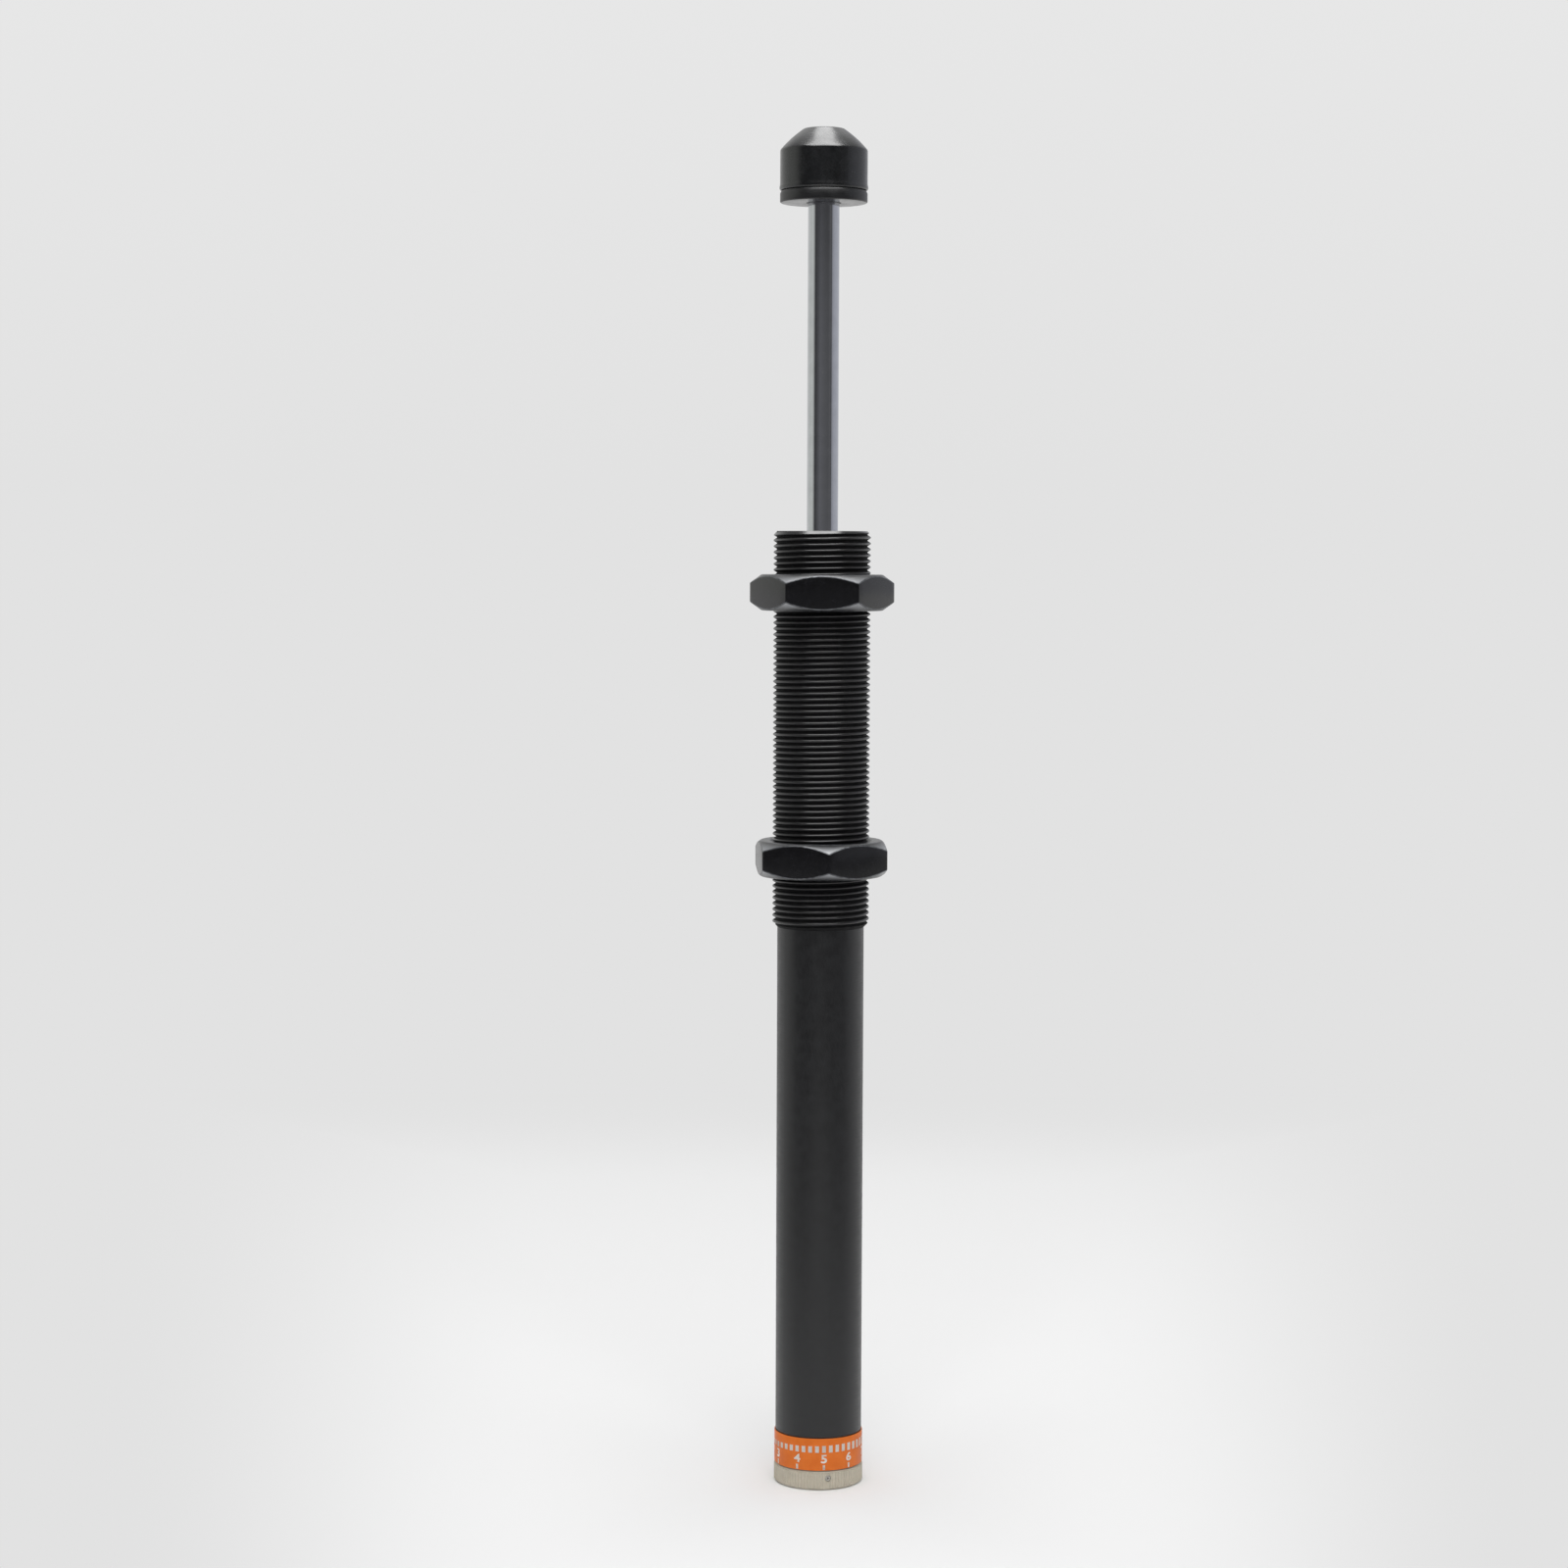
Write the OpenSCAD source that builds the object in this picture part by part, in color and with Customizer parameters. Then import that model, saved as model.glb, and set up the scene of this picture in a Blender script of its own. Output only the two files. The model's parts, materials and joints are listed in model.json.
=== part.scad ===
// Adjustable industrial shock absorber with a threaded housing, standing on its adjusting knob.
// +Z runs along the piston rod towards the strike cap. The origin is the middle of the knob's end face.
// Azimuths are counted from the front (-Y) towards +X, in degrees.

/* [Stroke and rod] */
// Stroke of the piston rod
stroke = 80; // [50:1:100]
// Diameter of the piston rod
rod_d = 8; // [6:0.1:9]
// Rod showing between the housing and the strike button, beyond the stroke
rod_spare = 3.25; // [2:0.05:10]
// Bore of the pressure tube
cylinder_d = 14; // [13.4:0.1:16]

/* [Housing tube] */
// Length of the threaded front part
thread_l = 101; // [90:1:140]
// Length of the plain rear part
plain_l = 130.9; // [120:0.1:180]
// Wall of the threaded part, from the bore to the thread crest
thread_wall = 2.9; // [2.2:0.1:5]
// Wall of the plain part
plain_wall = 1.6; // [1.2:0.1:2.8]
// Chamfer round the housing's mouth
mouth_chamfer = 1; // [0.3:0.1:1.5]
// Wall left round the retaining ring's groove, measured as the groove's depth
ring_groove_depth = 0.7; // [0.4:0.05:1]

/* [Lock nuts] */
// Pitch of the housing thread
thread_pitch = 1.5; // [1:0.25:2]
// Wall of a nut from the thread crest to the middle of a flat
nut_wall = 3.6; // [3:0.1:8]
// Height of a nut
nut_h = 9.2; // [6:0.1:14]
// Distance from the housing's mouth back to the front nut
front_nut_back = 10.7; // [5:0.1:30]
// Distance from the rear end of the thread forward to the rear nut
rear_nut_ahead = 13.1; // [8:0.1:40]
// Azimuth of the middle of a flat on the front nut
front_nut_turn = -0.5; // [-30:0.5:30]
// Azimuth of the middle of a flat on the rear nut
rear_nut_turn = 36; // [0:0.5:60]
// Angle of the chamfers on a nut's corners, from its end faces
nut_chamfer_angle = 30; // [15:1:40]
// How far a nut's round end face stops short of its flats
nut_face_step = 0.55; // [0.2:0.05:1]

/* [Strike cap] */
// Diameter of the cap's cylinder and of the steel button under it
cap_d = 22.2; // [20:0.1:24]
// Height of the button's rim
button_rim_h = 2.75; // [2:0.05:5]
// Overall height of the urethane cap
cap_h = 15.9; // [13:0.1:22]
// Height of the cap's cylinder up to the shoulder
cap_cylinder_h = 10.5; // [9:0.1:12]
// Diameter of the flat nose
nose_d = 10.4; // [6:0.1:12]
// How far the lip at the cap's foot stands out
cap_lip = 0.15; // [0.05:0.05:0.4]
// Height of that lip
cap_lip_h = 2; // [1:0.1:3]
// Radius of the shoulder between the cylinder and the cone
shoulder_r = 1.6; // [0.5:0.1:2.5]
// Radius of the round between the cone and the nose
nose_r = 1.2; // [0.4:0.1:2]
// Diameter of the button's hub inside the cap
hub_d = 12; // [10:0.1:13]
// How far the barb on the hub stands out
barb = 1.25; // [0.5:0.05:1.8]

/* [Knob and scale] */
// Height of the adjusting knob
knob_h = 4.8; // [4.6:0.1:8]
// How far the knob stands out past the plain tube
knob_lip = 0.35; // [0.2:0.05:2]
// Number of knurl teeth
knurl_teeth = 84; // [60:1:120]
// Depth of the knurl
knurl_depth = 0.2; // [0.1:0.05:0.4]
// Plain land above and below the knurl
knurl_land = 0.4; // [0.2:0.05:0.8]
// Thickness of the knob's end wall
knob_floor = 1.8; // [1.6:0.1:2]
// Height of the flange that carries the scale band
flange_h = 8.45; // [7:0.05:12]
// Thickness of the scale band
band_t = 0.29; // [0.15:0.01:0.5]
// Setting that the knob stands at, on the scale of 0 to 9
setting = 5.15; // [0:0.05:9]
// Azimuth of the number 5 on the scale
five_azimuth = 7; // [-18:0.5:18]
// Diameter of the small set screw that is the knob's pointer
set_screw_d = 1.6; // [1.4:0.1:2]

/* [Adjuster] */
// Lead of the thread that moves the metering sleeve
adjuster_lead = 1.5; // [0.5:0.1:2]
// Diameter of the adjuster spindle
spindle_d = 5; // [4.4:0.1:6]
// Length of the rear cap's spigot in the housing
spigot_l = 16; // [14:0.1:22]
// Wall of the pressure tube
pressure_wall = 1.3; // [1:0.05:2]
// Wall of the metering sleeve
sleeve_wall = 0.67; // [0.5:0.01:1.2]
// Oil passage between the sleeve and the housing
oil_gap = 0.5; // [0.4:0.05:1.2]
// Thickness of the sleeve's threaded web
web_t = 3; // [2:0.1:5]
// Orifices in each of the two rows
orifices = 8; // [4:1:10]
// Diameter of an orifice
orifice_d = 1.2; // [0.8:0.1:1.6]

/* [Gland and piston] */
// Length of the gland's head
gland_head_l = 15; // [14:0.1:20]
// Length of the gland's neck, which the foam sits round
gland_neck_l = 19; // [14:0.1:24]
// Wall of the rod bearing bush
bush_wall = 0.98; // [0.6:0.02:1.1]
// Length of the rod bearing bush
bush_l = 20; // [12:0.5:24]
// Height of the rod seal
seal_h = 4.8; // [3:0.1:5.5]
// Height of the rod wiper without its lip
wiper_h = 2.9; // [2:0.1:4]
// Length of the piston
piston_l = 12; // [11:0.1:18]
// Height of the check ring
check_ring_h = 3; // [2:0.1:3.4]
// Axial float of the check ring in its groove
ring_float = 0.8; // [0.4:0.05:1]
// Depth of that groove in the piston
check_groove_depth = 1.85; // [1.7:0.05:2]
// Diameter of the rod's stud that carries the piston
stud_d = 5; // [4:0.1:5.6]
// Height of the piston nut
piston_nut_h = 4; // [3:0.1:6]
// Wire diameter of the return spring
wire_d = 1.2; // [0.8:0.05:1.3]
// Working turns of the return spring
spring_turns = 38; // [20:1:42]

/* [Fits] */
// Radial clearance of a running fit
running = 0.05; // [0.03:0.01:0.08]
// Radial clearance between seated pieces of one assembly
seat = 0.02; // [0.01:0.01:0.04]
// Axial gap between turning faces
turn_gap = 0.15; // [0.1:0.05:0.3]

/* [Hidden] */
$fn = 96;

// Small sizes that many pieces share: how far a cut runs past the face it opens, the chamfer on a turned
// edge, a small step between faces of two pieces, and the facets of a small hole
over = 1;
edge = 0.3;
step = 0.1;
small_fn = 32;

// Diameters, worked outwards from the pressure tube's bore
pressure_d = cylinder_d + 2 * pressure_wall;
sleeve_bore_d = pressure_d + 2 * running;
sleeve_d = sleeve_bore_d + 2 * sleeve_wall;
bore_d = sleeve_d + 2 * oil_gap;
thread_d = bore_d + 2 * thread_wall;
plain_d = bore_d + 2 * plain_wall;
nut_flats = thread_d + 2 * nut_wall;
knob_d = plain_d + 2 * knob_lip;
land_d = plain_d - step;
band_d = land_d + 2 * (seat + band_t);

// Heights, from the knob's end face up
flange_z = knob_h + turn_gap;
tube_z = flange_z + flange_h;
thread_z = tube_z + plain_l;
face_z = thread_z + thread_l;
button_z = face_z + stroke + rod_spare;
cap_z = button_z + button_rim_h;
front_nut_z = face_z - front_nut_back - nut_h;
rear_nut_z = thread_z + rear_nut_ahead;

// Rear end: the knob is a cup round the rear cap's neck
neck_z = knob_floor + turn_gap;
neck_r = 8.1;
cup_r = neck_r + 2 * step;
knob_hub_r = 4.5;
knob_hub_h = 6.2;
knob_hub_top = knob_floor + knob_hub_h;
knurl_step = 0.06;
hub_pocket_r = knob_hub_r + 3 * step;
hub_pocket_z = knob_hub_top + 4 * step;
spigot_z = tube_z + spigot_l;
cap_groove_z = tube_z + spigot_l * 0.75;
collar_r = 4.5;
collar_h = 2.8;
collar_gap = 0.15;
collar_z = spigot_z - collar_h - 4 * step;
drive_r = 2;
drive_flat = 1.5;
drive_z = knob_floor + 0.8;
screw_r = 1.25;
screw_head_r = 2.4;
screw_sink = 0.3;
screw_hex_r = 0.87;
set_screw_z = (knob_floor + knob_h) / 2 - 0.3;

// Turning stop: a pin in the knob runs in a curved groove of the rear cap's neck
step_angle = 36;
last_number = 9;
low_turn = -setting * step_angle;
high_turn = (last_number - setting) * step_angle;
pointer_azimuth = five_azimuth + (setting - 5) * step_angle;
stop_azimuth = pointer_azimuth + 180;
stop_pin_r = 0.75;
stop_pin_seat = 0.9;
stop_path_r = (hub_pocket_r + neck_r) / 2;
stop_depth = 1.5;

// Metering sleeve: its web rides on the spindle's thread between the rear cap and the tube plug
web_room = 0.8;
sleeve_shift = adjuster_lead * setting * step_angle / 360;
sleeve_travel = adjuster_lead * last_number * step_angle / 360;
web_z = spigot_z + web_room + sleeve_shift;
plug_z = spigot_z + web_room + sleeve_travel + web_t + web_room;
plug_flange = 2;
plug_spigot = 6;
plug_boss = 2;
pressure_z = plug_z + plug_flange;
spring_z = pressure_z + plug_spigot;
plug_groove_z = pressure_z + plug_spigot / 2;
adjuster_thread_r = 3;
guide_pin_r = 1;
guide_path_r = (collar_r + collar_gap + sleeve_bore_d / 2) / 2 + step;
guide_pin_seat = 6;
guide_azimuths = [60, 180, 300];

// Front end, from the housing's mouth down
ring_t = 1;
ring_depth = 1.2;
gland_z = face_z - ring_depth - ring_t;
wiper_wall = 3.25;
wiper_r = rod_d / 2 + wiper_wall;
seal_wall = 2.5;
seal_r = rod_d / 2 + seal_wall;
rod_gap = 0.3;
wiper_z = gland_z - wiper_h;
washer_t = 1;
seal_z = wiper_z - washer_t - seal_h;
bush_r = rod_d / 2 + running / 2 + bush_wall;
gland_neck_wall = 1.2;
gland_neck_r = bush_r + gland_neck_wall;
head_z = gland_z - gland_head_l;
gland_groove_z = head_z + gland_head_l * 0.3;
neck_foot_z = head_z - gland_neck_l;
foot_t = 3;
foot_z = neck_foot_z - foot_t;
gland_pilot = 3;
pilot_z = foot_z - gland_pilot;
return_port_r = 1.2;
return_port_z = pilot_z - 2;
sleeve_top = return_port_z - return_port_r - 1.6;
foam_gap = 0.2;

// Piston, at its stop under the gland
piston_gap = 0.3;
piston_r = cylinder_d / 2 - running;
piston_top = pilot_z - piston_gap;
piston_z = piston_top - piston_l;
ring_groove_h = check_ring_h + ring_float;
ring_groove_z = piston_z + (piston_l - ring_groove_h) * 0.39;
ring_groove_r = piston_r - check_groove_depth;
flow_hole_r = 0.6;
flow_slot_w = 3;
piston_nut_wall = 1.5;
stud_z = piston_z - piston_nut_h - 1;
spring_gap = 0.6;
spring_mean_r = cylinder_d / 2 - spring_gap - wire_d / 2;

// Strike cap: the rod's end stud in the button, and the button's barbed hub in the urethane
socket_depth = 1.5;
top_stud_r = 3;
top_stud_l = 7.2;
hub_top = button_z + socket_depth + top_stud_l + 1;
barb_h = 3;

// Seals of round section: the depth of a groove, and the section that just fits it
groove_depth = 1.5;
groove_w = 2;
spindle_groove_depth = 0.8;
spindle_groove_w = 1;
spindle_groove_z = (hub_pocket_z + collar_z) / 2;

function on_circle(r, azimuth) = [r * sin(azimuth), -r * cos(azimuth)];

// Distance below the piston at which an orifice lies: equal braking over the stroke needs them closer
// together towards its end
function orifice_z(i) = piston_z - stroke * (1 - pow(1 - (i + 0.5) / orifices, 2));

module ring(r_out, r_in, z, h) {
    translate([0, 0, z]) difference() {
        cylinder(r = r_out, h = h);
        translate([0, 0, -over]) cylinder(r = r_in, h = h + 2 * over);
    }
}

module disc(r, z, h) {
    translate([0, 0, z]) cylinder(r = r, h = h);
}

module cone(r_low, r_high, z, h) {
    translate([0, 0, z]) cylinder(r1 = r_low, r2 = r_high, h = h);
}

// A disc whose lower and upper edge are chamfered where a size is given
module chamfered_disc(r, z, h, low = 0, high = 0) {
    rotate_extrude() polygon([[0, z], [r - low, z], if (low > 0) [r, z + low],
        if (high > 0) [r, z + h - high], [r - high, z + h], [0, z + h]]);
}

// A seal ring that fits between two round walls
module o_ring(r_in, r_out, z) {
    section_r = (r_out - r_in) / 2 - seat / 2;
    rotate_extrude() translate([(r_in + r_out) / 2, z]) circle(r = section_r, $fn = small_fn);
}

// The groove for a seal ring, turned into a shaft
module seal_groove(shaft_r, depth, z, w) {
    ring(shaft_r + over, shaft_r - depth, z - w / 2, w);
}

// A pin or a hole along Z, at an azimuth on a circle
module pin(r, path_r, azimuth, z, h) {
    translate([each on_circle(path_r, azimuth), z]) cylinder(r = r, h = h, $fn = small_fn);
}

// A hole through a wall, along the radius at an azimuth
module side_hole(r, azimuth, z, from_r, to_r) {
    rotate([0, 0, azimuth - 90]) translate([from_r, 0, z]) rotate([0, 90, 0])
        cylinder(r = r, h = to_r - from_r, $fn = small_fn);
}

// A straight knurl: an even ring of V teeth
module knurl(r, teeth, depth, z, h) {
    translate([0, 0, z]) linear_extrude(h)
        polygon([for (i = [0 : 2 * teeth - 1]) on_circle(r - depth * (i % 2), 180 / teeth * i)]);
}

module housing_tube() {
    bore_r = bore_d / 2;
    run_out = (thread_d - plain_d) / 2;
    groove_top = gland_z + ring_t + step;
    color("#26282b") rotate_extrude() polygon([
        [bore_r, tube_z + 2 * edge], [bore_r + 2 * edge, tube_z], [plain_d / 2, tube_z],
        [plain_d / 2, thread_z], [thread_d / 2, thread_z + run_out],
        [thread_d / 2, face_z - mouth_chamfer], [thread_d / 2 - mouth_chamfer, face_z],
        [bore_r + edge, face_z], [bore_r, face_z - edge], [bore_r, groove_top],
        [bore_r + ring_groove_depth, groove_top], [bore_r + ring_groove_depth, gland_z],
        [bore_r, gland_z]]);
}

// The curved groove that stops the knob at 0 and at 9
module stop_groove() {
    groove_r = stop_pin_r + step;
    translate([0, 0, neck_z - over]) rotate([0, 0, stop_azimuth - 90 + low_turn])
        rotate_extrude(angle = high_turn - low_turn)
            translate([stop_path_r - groove_r, 0]) square([2 * groove_r, stop_depth + over]);
    for (turn = [low_turn, high_turn])
        pin(groove_r, stop_path_r, stop_azimuth + turn, neck_z - over, stop_depth + over);
}

module rear_cap() {
    color("#55585c") difference() {
        union() {
            disc(neck_r, neck_z, flange_z - neck_z + over);
            disc(land_d / 2, flange_z, flange_h);
            chamfered_disc(bore_d / 2 - seat, tube_z - over, spigot_l + over, high = 2 * edge);
        }
        disc(hub_pocket_r, neck_z - over, hub_pocket_z - neck_z + over);
        disc(spindle_d / 2 + running, neck_z, spigot_z - neck_z + over);
        disc(collar_r + collar_gap, collar_z, spigot_z - collar_z + over);
        seal_groove(bore_d / 2, groove_depth, cap_groove_z, groove_w);
        stop_groove();
        for (a = guide_azimuths)
            pin(guide_pin_r + seat, guide_path_r, a, spigot_z - guide_pin_seat, guide_pin_seat + over);
    }
}

module rear_cap_oring() {
    color("#1c1c1c") o_ring(bore_d / 2 - groove_depth, bore_d / 2, cap_groove_z);
}

module scale_band() {
    color("#d06226") ring(band_d / 2, land_d / 2 + seat, flange_z + step, flange_h - 1.5 * step);
}

module adjuster_knob() {
    core_r = knob_d / 2 - knurl_depth - knurl_step;
    sink_r = screw_head_r + screw_sink;
    color("#aca99b") difference() {
        union() {
            difference() {
                union() {
                    chamfered_disc(core_r, 0, knob_h, edge, edge - step);
                    knurl(knob_d / 2, knurl_teeth, knurl_depth, knurl_land, knob_h - 2 * knurl_land);
                }
                disc(cup_r, knob_floor, knob_h);
            }
            disc(knob_hub_r, knob_floor, knob_hub_h);
        }
        disc(screw_r + step, -over, knob_h);
        cone(sink_r + over, screw_r + step, -over, sink_r + over - screw_r - step);
        drive(seat, drive_z, knob_hub_h);
        pin(stop_pin_r + seat, stop_path_r, stop_azimuth, knob_floor - stop_pin_seat, stop_pin_seat + over);
        side_hole(set_screw_d / 2 + seat, pointer_azimuth, set_screw_z, knob_hub_r + 2 * over, knob_d);
    }
}

// The spindle's D-shaped drive end, or its hole
module drive(gap, z, h) {
    r = drive_r + gap;
    translate([0, 0, z]) intersection() {
        cylinder(r = r, h = h);
        translate([-r - over, -r - over, -over])
            cube([2 * (r + over), r + over + drive_flat + gap, h + 2 * over]);
    }
}

module knob_set_screw() {
    screw_l = knob_d / 2 - knurl_depth - neck_r - 3 * step;
    hex_depth = 1;
    color("#3a3a3a") rotate([0, 0, pointer_azimuth - 90]) translate([neck_r + running, 0, set_screw_z])
        rotate([0, 90, 0]) difference() {
            cylinder(r = set_screw_d / 2, h = screw_l, $fn = small_fn);
            translate([0, 0, screw_l - hex_depth])
                cylinder(r = set_screw_d * 0.26, h = hex_depth + over, $fn = 6);
        }
}

module knob_screw() {
    hex_top = 1;
    color("#44464a") difference() {
        union() {
            cone(screw_head_r, screw_r, screw_sink, screw_head_r - screw_r);
            disc(screw_r, screw_sink, knob_hub_top - 1);
        }
        translate([0, 0, -over]) cylinder(r = screw_hex_r, h = hex_top + over, $fn = 6);
    }
}

module stop_pin() {
    foot = knob_floor - stop_pin_seat;
    top = neck_z + stop_depth - 2 * step;
    color("#9a9a98") pin(stop_pin_r, stop_path_r, stop_azimuth, foot, top - foot);
}

module adjuster_spindle() {
    thread_foot = collar_z + collar_h;
    thread_top = plug_z - 3 * step;
    screw_hole_l = knob_hub_h - 4 * step;
    color("#8d9092") difference() {
        union() {
            drive(0, drive_z, knob_hub_h);
            disc(spindle_d / 2, knob_hub_top + step, collar_z - knob_hub_top);
            disc(collar_r, collar_z + running, collar_h);
            chamfered_disc(adjuster_thread_r, thread_foot, thread_top - thread_foot, high = edge);
        }
        disc(screw_r + seat, knob_floor, screw_hole_l);
        seal_groove(spindle_d / 2, spindle_groove_depth, spindle_groove_z, spindle_groove_w);
    }
}

module spindle_oring() {
    color("#1c1c1c") o_ring(spindle_d / 2 - spindle_groove_depth, spindle_d / 2, spindle_groove_z);
}

module metering_sleeve() {
    window_r = orifice_d / 2 + 1.5 * step;
    color("#b0b3b5") difference() {
        disc(sleeve_d / 2, web_z, sleeve_top - web_z);
        disc(sleeve_bore_d / 2, web_z + web_t, sleeve_top - web_z);
        disc(adjuster_thread_r + running, web_z - over, web_t + 2 * over);
        for (a = guide_azimuths)
            pin(guide_pin_r + running, guide_path_r, a, web_z - over, web_t + 2 * over);
        for (i = [0 : orifices - 1], a = [90, 270])
            side_hole(window_r, a, orifice_z(i) + sleeve_shift, sleeve_bore_d / 2 - over, sleeve_d);
    }
}

module guide_pins() {
    foot = spigot_z - guide_pin_seat + running;
    top = plug_z + plug_flange - 5 * step;
    color("#9a9a98") for (a = guide_azimuths) pin(guide_pin_r, guide_path_r, a, foot, top - foot);
}

module tube_plug() {
    boss_r = spring_mean_r - wire_d / 2 - 3 * step;
    color("#6d7073") difference() {
        union() {
            disc(pressure_d / 2, plug_z, plug_flange);
            disc(cylinder_d / 2 - seat, pressure_z - over, plug_spigot + over);
            chamfered_disc(boss_r, spring_z - over, plug_boss + over, high = edge);
        }
        for (a = guide_azimuths)
            pin(guide_pin_r + seat, guide_path_r, a, plug_z - over, plug_flange + over / 2);
        seal_groove(cylinder_d / 2, groove_depth, plug_groove_z, groove_w);
    }
}

module plug_oring() {
    color("#1c1c1c") o_ring(cylinder_d / 2 - groove_depth, cylinder_d / 2, plug_groove_z);
}

module pressure_tube() {
    color("#c3c6c8") difference() {
        ring(pressure_d / 2, cylinder_d / 2, pressure_z, foot_z - pressure_z);
        for (i = [0 : orifices - 1], a = [90, 270])
            side_hole(orifice_d / 2, a, orifice_z(i), cylinder_d / 2 - over, pressure_d);
        for (a = [0 : 90 : 270])
            side_hole(return_port_r, a, return_port_z, cylinder_d / 2 - over, pressure_d);
    }
}

module gland() {
    color("#7b7e80") difference() {
        union() {
            chamfered_disc(bore_d / 2 - seat, head_z, gland_head_l, edge, edge);
            disc(gland_neck_r, foot_z, foot_t + gland_neck_l + over);
            disc(pressure_d / 2, foot_z, foot_t);
            disc(cylinder_d / 2 - seat, pilot_z, gland_pilot + over);
        }
        disc(rod_d / 2 + rod_gap, pilot_z - over, seal_z - pilot_z + 2 * over);
        disc(bush_r + seat, seal_z - bush_l, bush_l + over);
        disc(seal_r + seat, seal_z, seal_h + washer_t + over);
        disc(wiper_r + seat, wiper_z, wiper_h + over);
        seal_groove(bore_d / 2, groove_depth, gland_groove_z, groove_w);
    }
}

module gland_oring() {
    color("#1c1c1c") o_ring(bore_d / 2 - groove_depth, bore_d / 2, gland_groove_z);
}

module rod_bearing() {
    color("#b08d4a") ring(bush_r, rod_d / 2 + running / 2, seal_z - bush_l + running, bush_l - 2 * running);
}

// A U-cup: its hollow faces the oil
module rod_seal() {
    in_r = rod_d / 2 + seat;
    lip_t = 0.75;
    hollow_h = seal_h * 0.55;
    color("#27506b") difference() {
        ring(seal_r, in_r, seal_z + running, seal_h - 2 * running);
        ring(seal_r - lip_t, in_r + lip_t, seal_z - over, hollow_h + over);
    }
}

module seal_washer() {
    color("#a5a7a8") ring(seal_r, rod_d / 2 + 2 * step, seal_z + seal_h, washer_t);
}

// A wiper ring whose lip leans up and in to the rod
module rod_wiper() {
    in_r = rod_d / 2 + seat;
    lip_h = 0.8;
    lip_t = 0.35;
    lip_foot = 1.6;
    relief = 0.5;
    color("#202020") rotate_extrude() polygon([
        [in_r + relief, wiper_z + running], [wiper_r, wiper_z + running],
        [wiper_r, gland_z - step], [in_r + lip_foot, gland_z - step],
        [in_r + lip_t, gland_z + lip_h], [in_r, gland_z + lip_h], [in_r, gland_z],
        [in_r + relief, gland_z - lip_h]]);
}

// A C-shaped retaining ring with two eyes for the pliers
module retaining_ring() {
    out_r = bore_d / 2 + ring_groove_depth - step;
    in_r = bore_d / 2 - 1.2;
    eye_r = 1.4;
    eye_hole_r = 0.55;
    eye_path_r = in_r - 2 * step;
    eye_azimuths = [167, 193];
    gap_azimuths = [171, 189];
    color("#5c5f62") translate([0, 0, gland_z + seat]) difference() {
        union() {
            difference() {
                ring(out_r, in_r, 0, ring_t);
                linear_extrude(3 * ring_t, center = true)
                    polygon([[0, 0], for (a = gap_azimuths) on_circle(bore_d, a)]);
            }
            for (a = eye_azimuths) pin(eye_r, eye_path_r, a, 0, ring_t);
        }
        for (a = eye_azimuths) pin(eye_hole_r, eye_path_r, a, -over, ring_t + 2 * over);
    }
}

module accumulator_foam() {
    color("#3b3b3b") ring(bore_d / 2 - foam_gap, gland_neck_r + foam_gap, neck_foot_z + foam_gap / 2,
        gland_neck_l - foam_gap);
}

module piston_rod() {
    rod_top = button_z + socket_depth;
    color("#dcdedf") union() {
        chamfered_disc(stud_d / 2, stud_z, piston_top - stud_z + over, low = edge);
        chamfered_disc(rod_d / 2, piston_top, rod_top - piston_top, edge, edge);
        chamfered_disc(top_stud_r, rod_top - over, top_stud_l + over, high = edge);
    }
}

module piston() {
    hole_path_r = ring_groove_r + 1.5 * flow_hole_r;
    slot_floor_r = ring_groove_r + flow_hole_r;
    color("#9b8a55") difference() {
        chamfered_disc(piston_r, piston_z, piston_l, edge, edge);
        disc(stud_d / 2 + seat, piston_z - over, piston_l + 2 * over);
        ring(cylinder_d, ring_groove_r, ring_groove_z, ring_groove_h);
        for (a = [0 : 60 : 300]) pin(flow_hole_r, hole_path_r, a, ring_groove_z + over, piston_l);
        for (a = [0 : 90 : 270]) rotate([0, 0, a])
            translate([slot_floor_r, -flow_slot_w / 2, piston_z - over])
                cube([piston_r, flow_slot_w, ring_groove_z - piston_z + 2 * over]);
    }
}

module check_ring() {
    color("#cfa34c") ring(piston_r, ring_groove_r + 3 * step, ring_groove_z + seat, check_ring_h);
}

// A hexagonal nut with its corners chamfered at both ends and its bore countersunk
module hex_nut(flats, h, bore_r, chamfer_angle, bore_chamfer, turn) {
    corner_r = flats / sqrt(3);
    face_r = flats / 2 - nut_face_step;
    drop = (corner_r - face_r) * tan(chamfer_angle);
    rotate([0, 0, turn + 30]) difference() {
        intersection() {
            rotate([0, 0, 30]) cylinder(r = corner_r, h = h, $fn = 6);
            rotate_extrude() polygon([[0, 0], [face_r, 0], [corner_r, drop], [corner_r, h - drop],
                [face_r, h], [0, h]]);
        }
        disc(bore_r, -over, h + 2 * over);
        cone(bore_r + bore_chamfer + step, bore_r, -step, bore_chamfer + step);
        cone(bore_r, bore_r + bore_chamfer + step, h - bore_chamfer, bore_chamfer + step);
    }
}

module piston_nut() {
    color("#8d9092") translate([0, 0, piston_z - piston_nut_h])
        hex_nut(stud_d + 2 * piston_nut_wall, piston_nut_h, stud_d / 2 + seat, nut_chamfer_angle, edge, 0);
}

// Height of the wire's middle after a share of the turns: one closed turn at each end, even pitch between
function spring_rise(turn, low, high) =
    let (all = spring_turns + 2, pitch = (high - low - 2 * wire_d) / spring_turns)
    turn < 1 ? low + turn * wire_d
    : turn > all - 1 ? high - (all - turn) * wire_d
    : low + wire_d + (turn - 1) * pitch;

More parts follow.
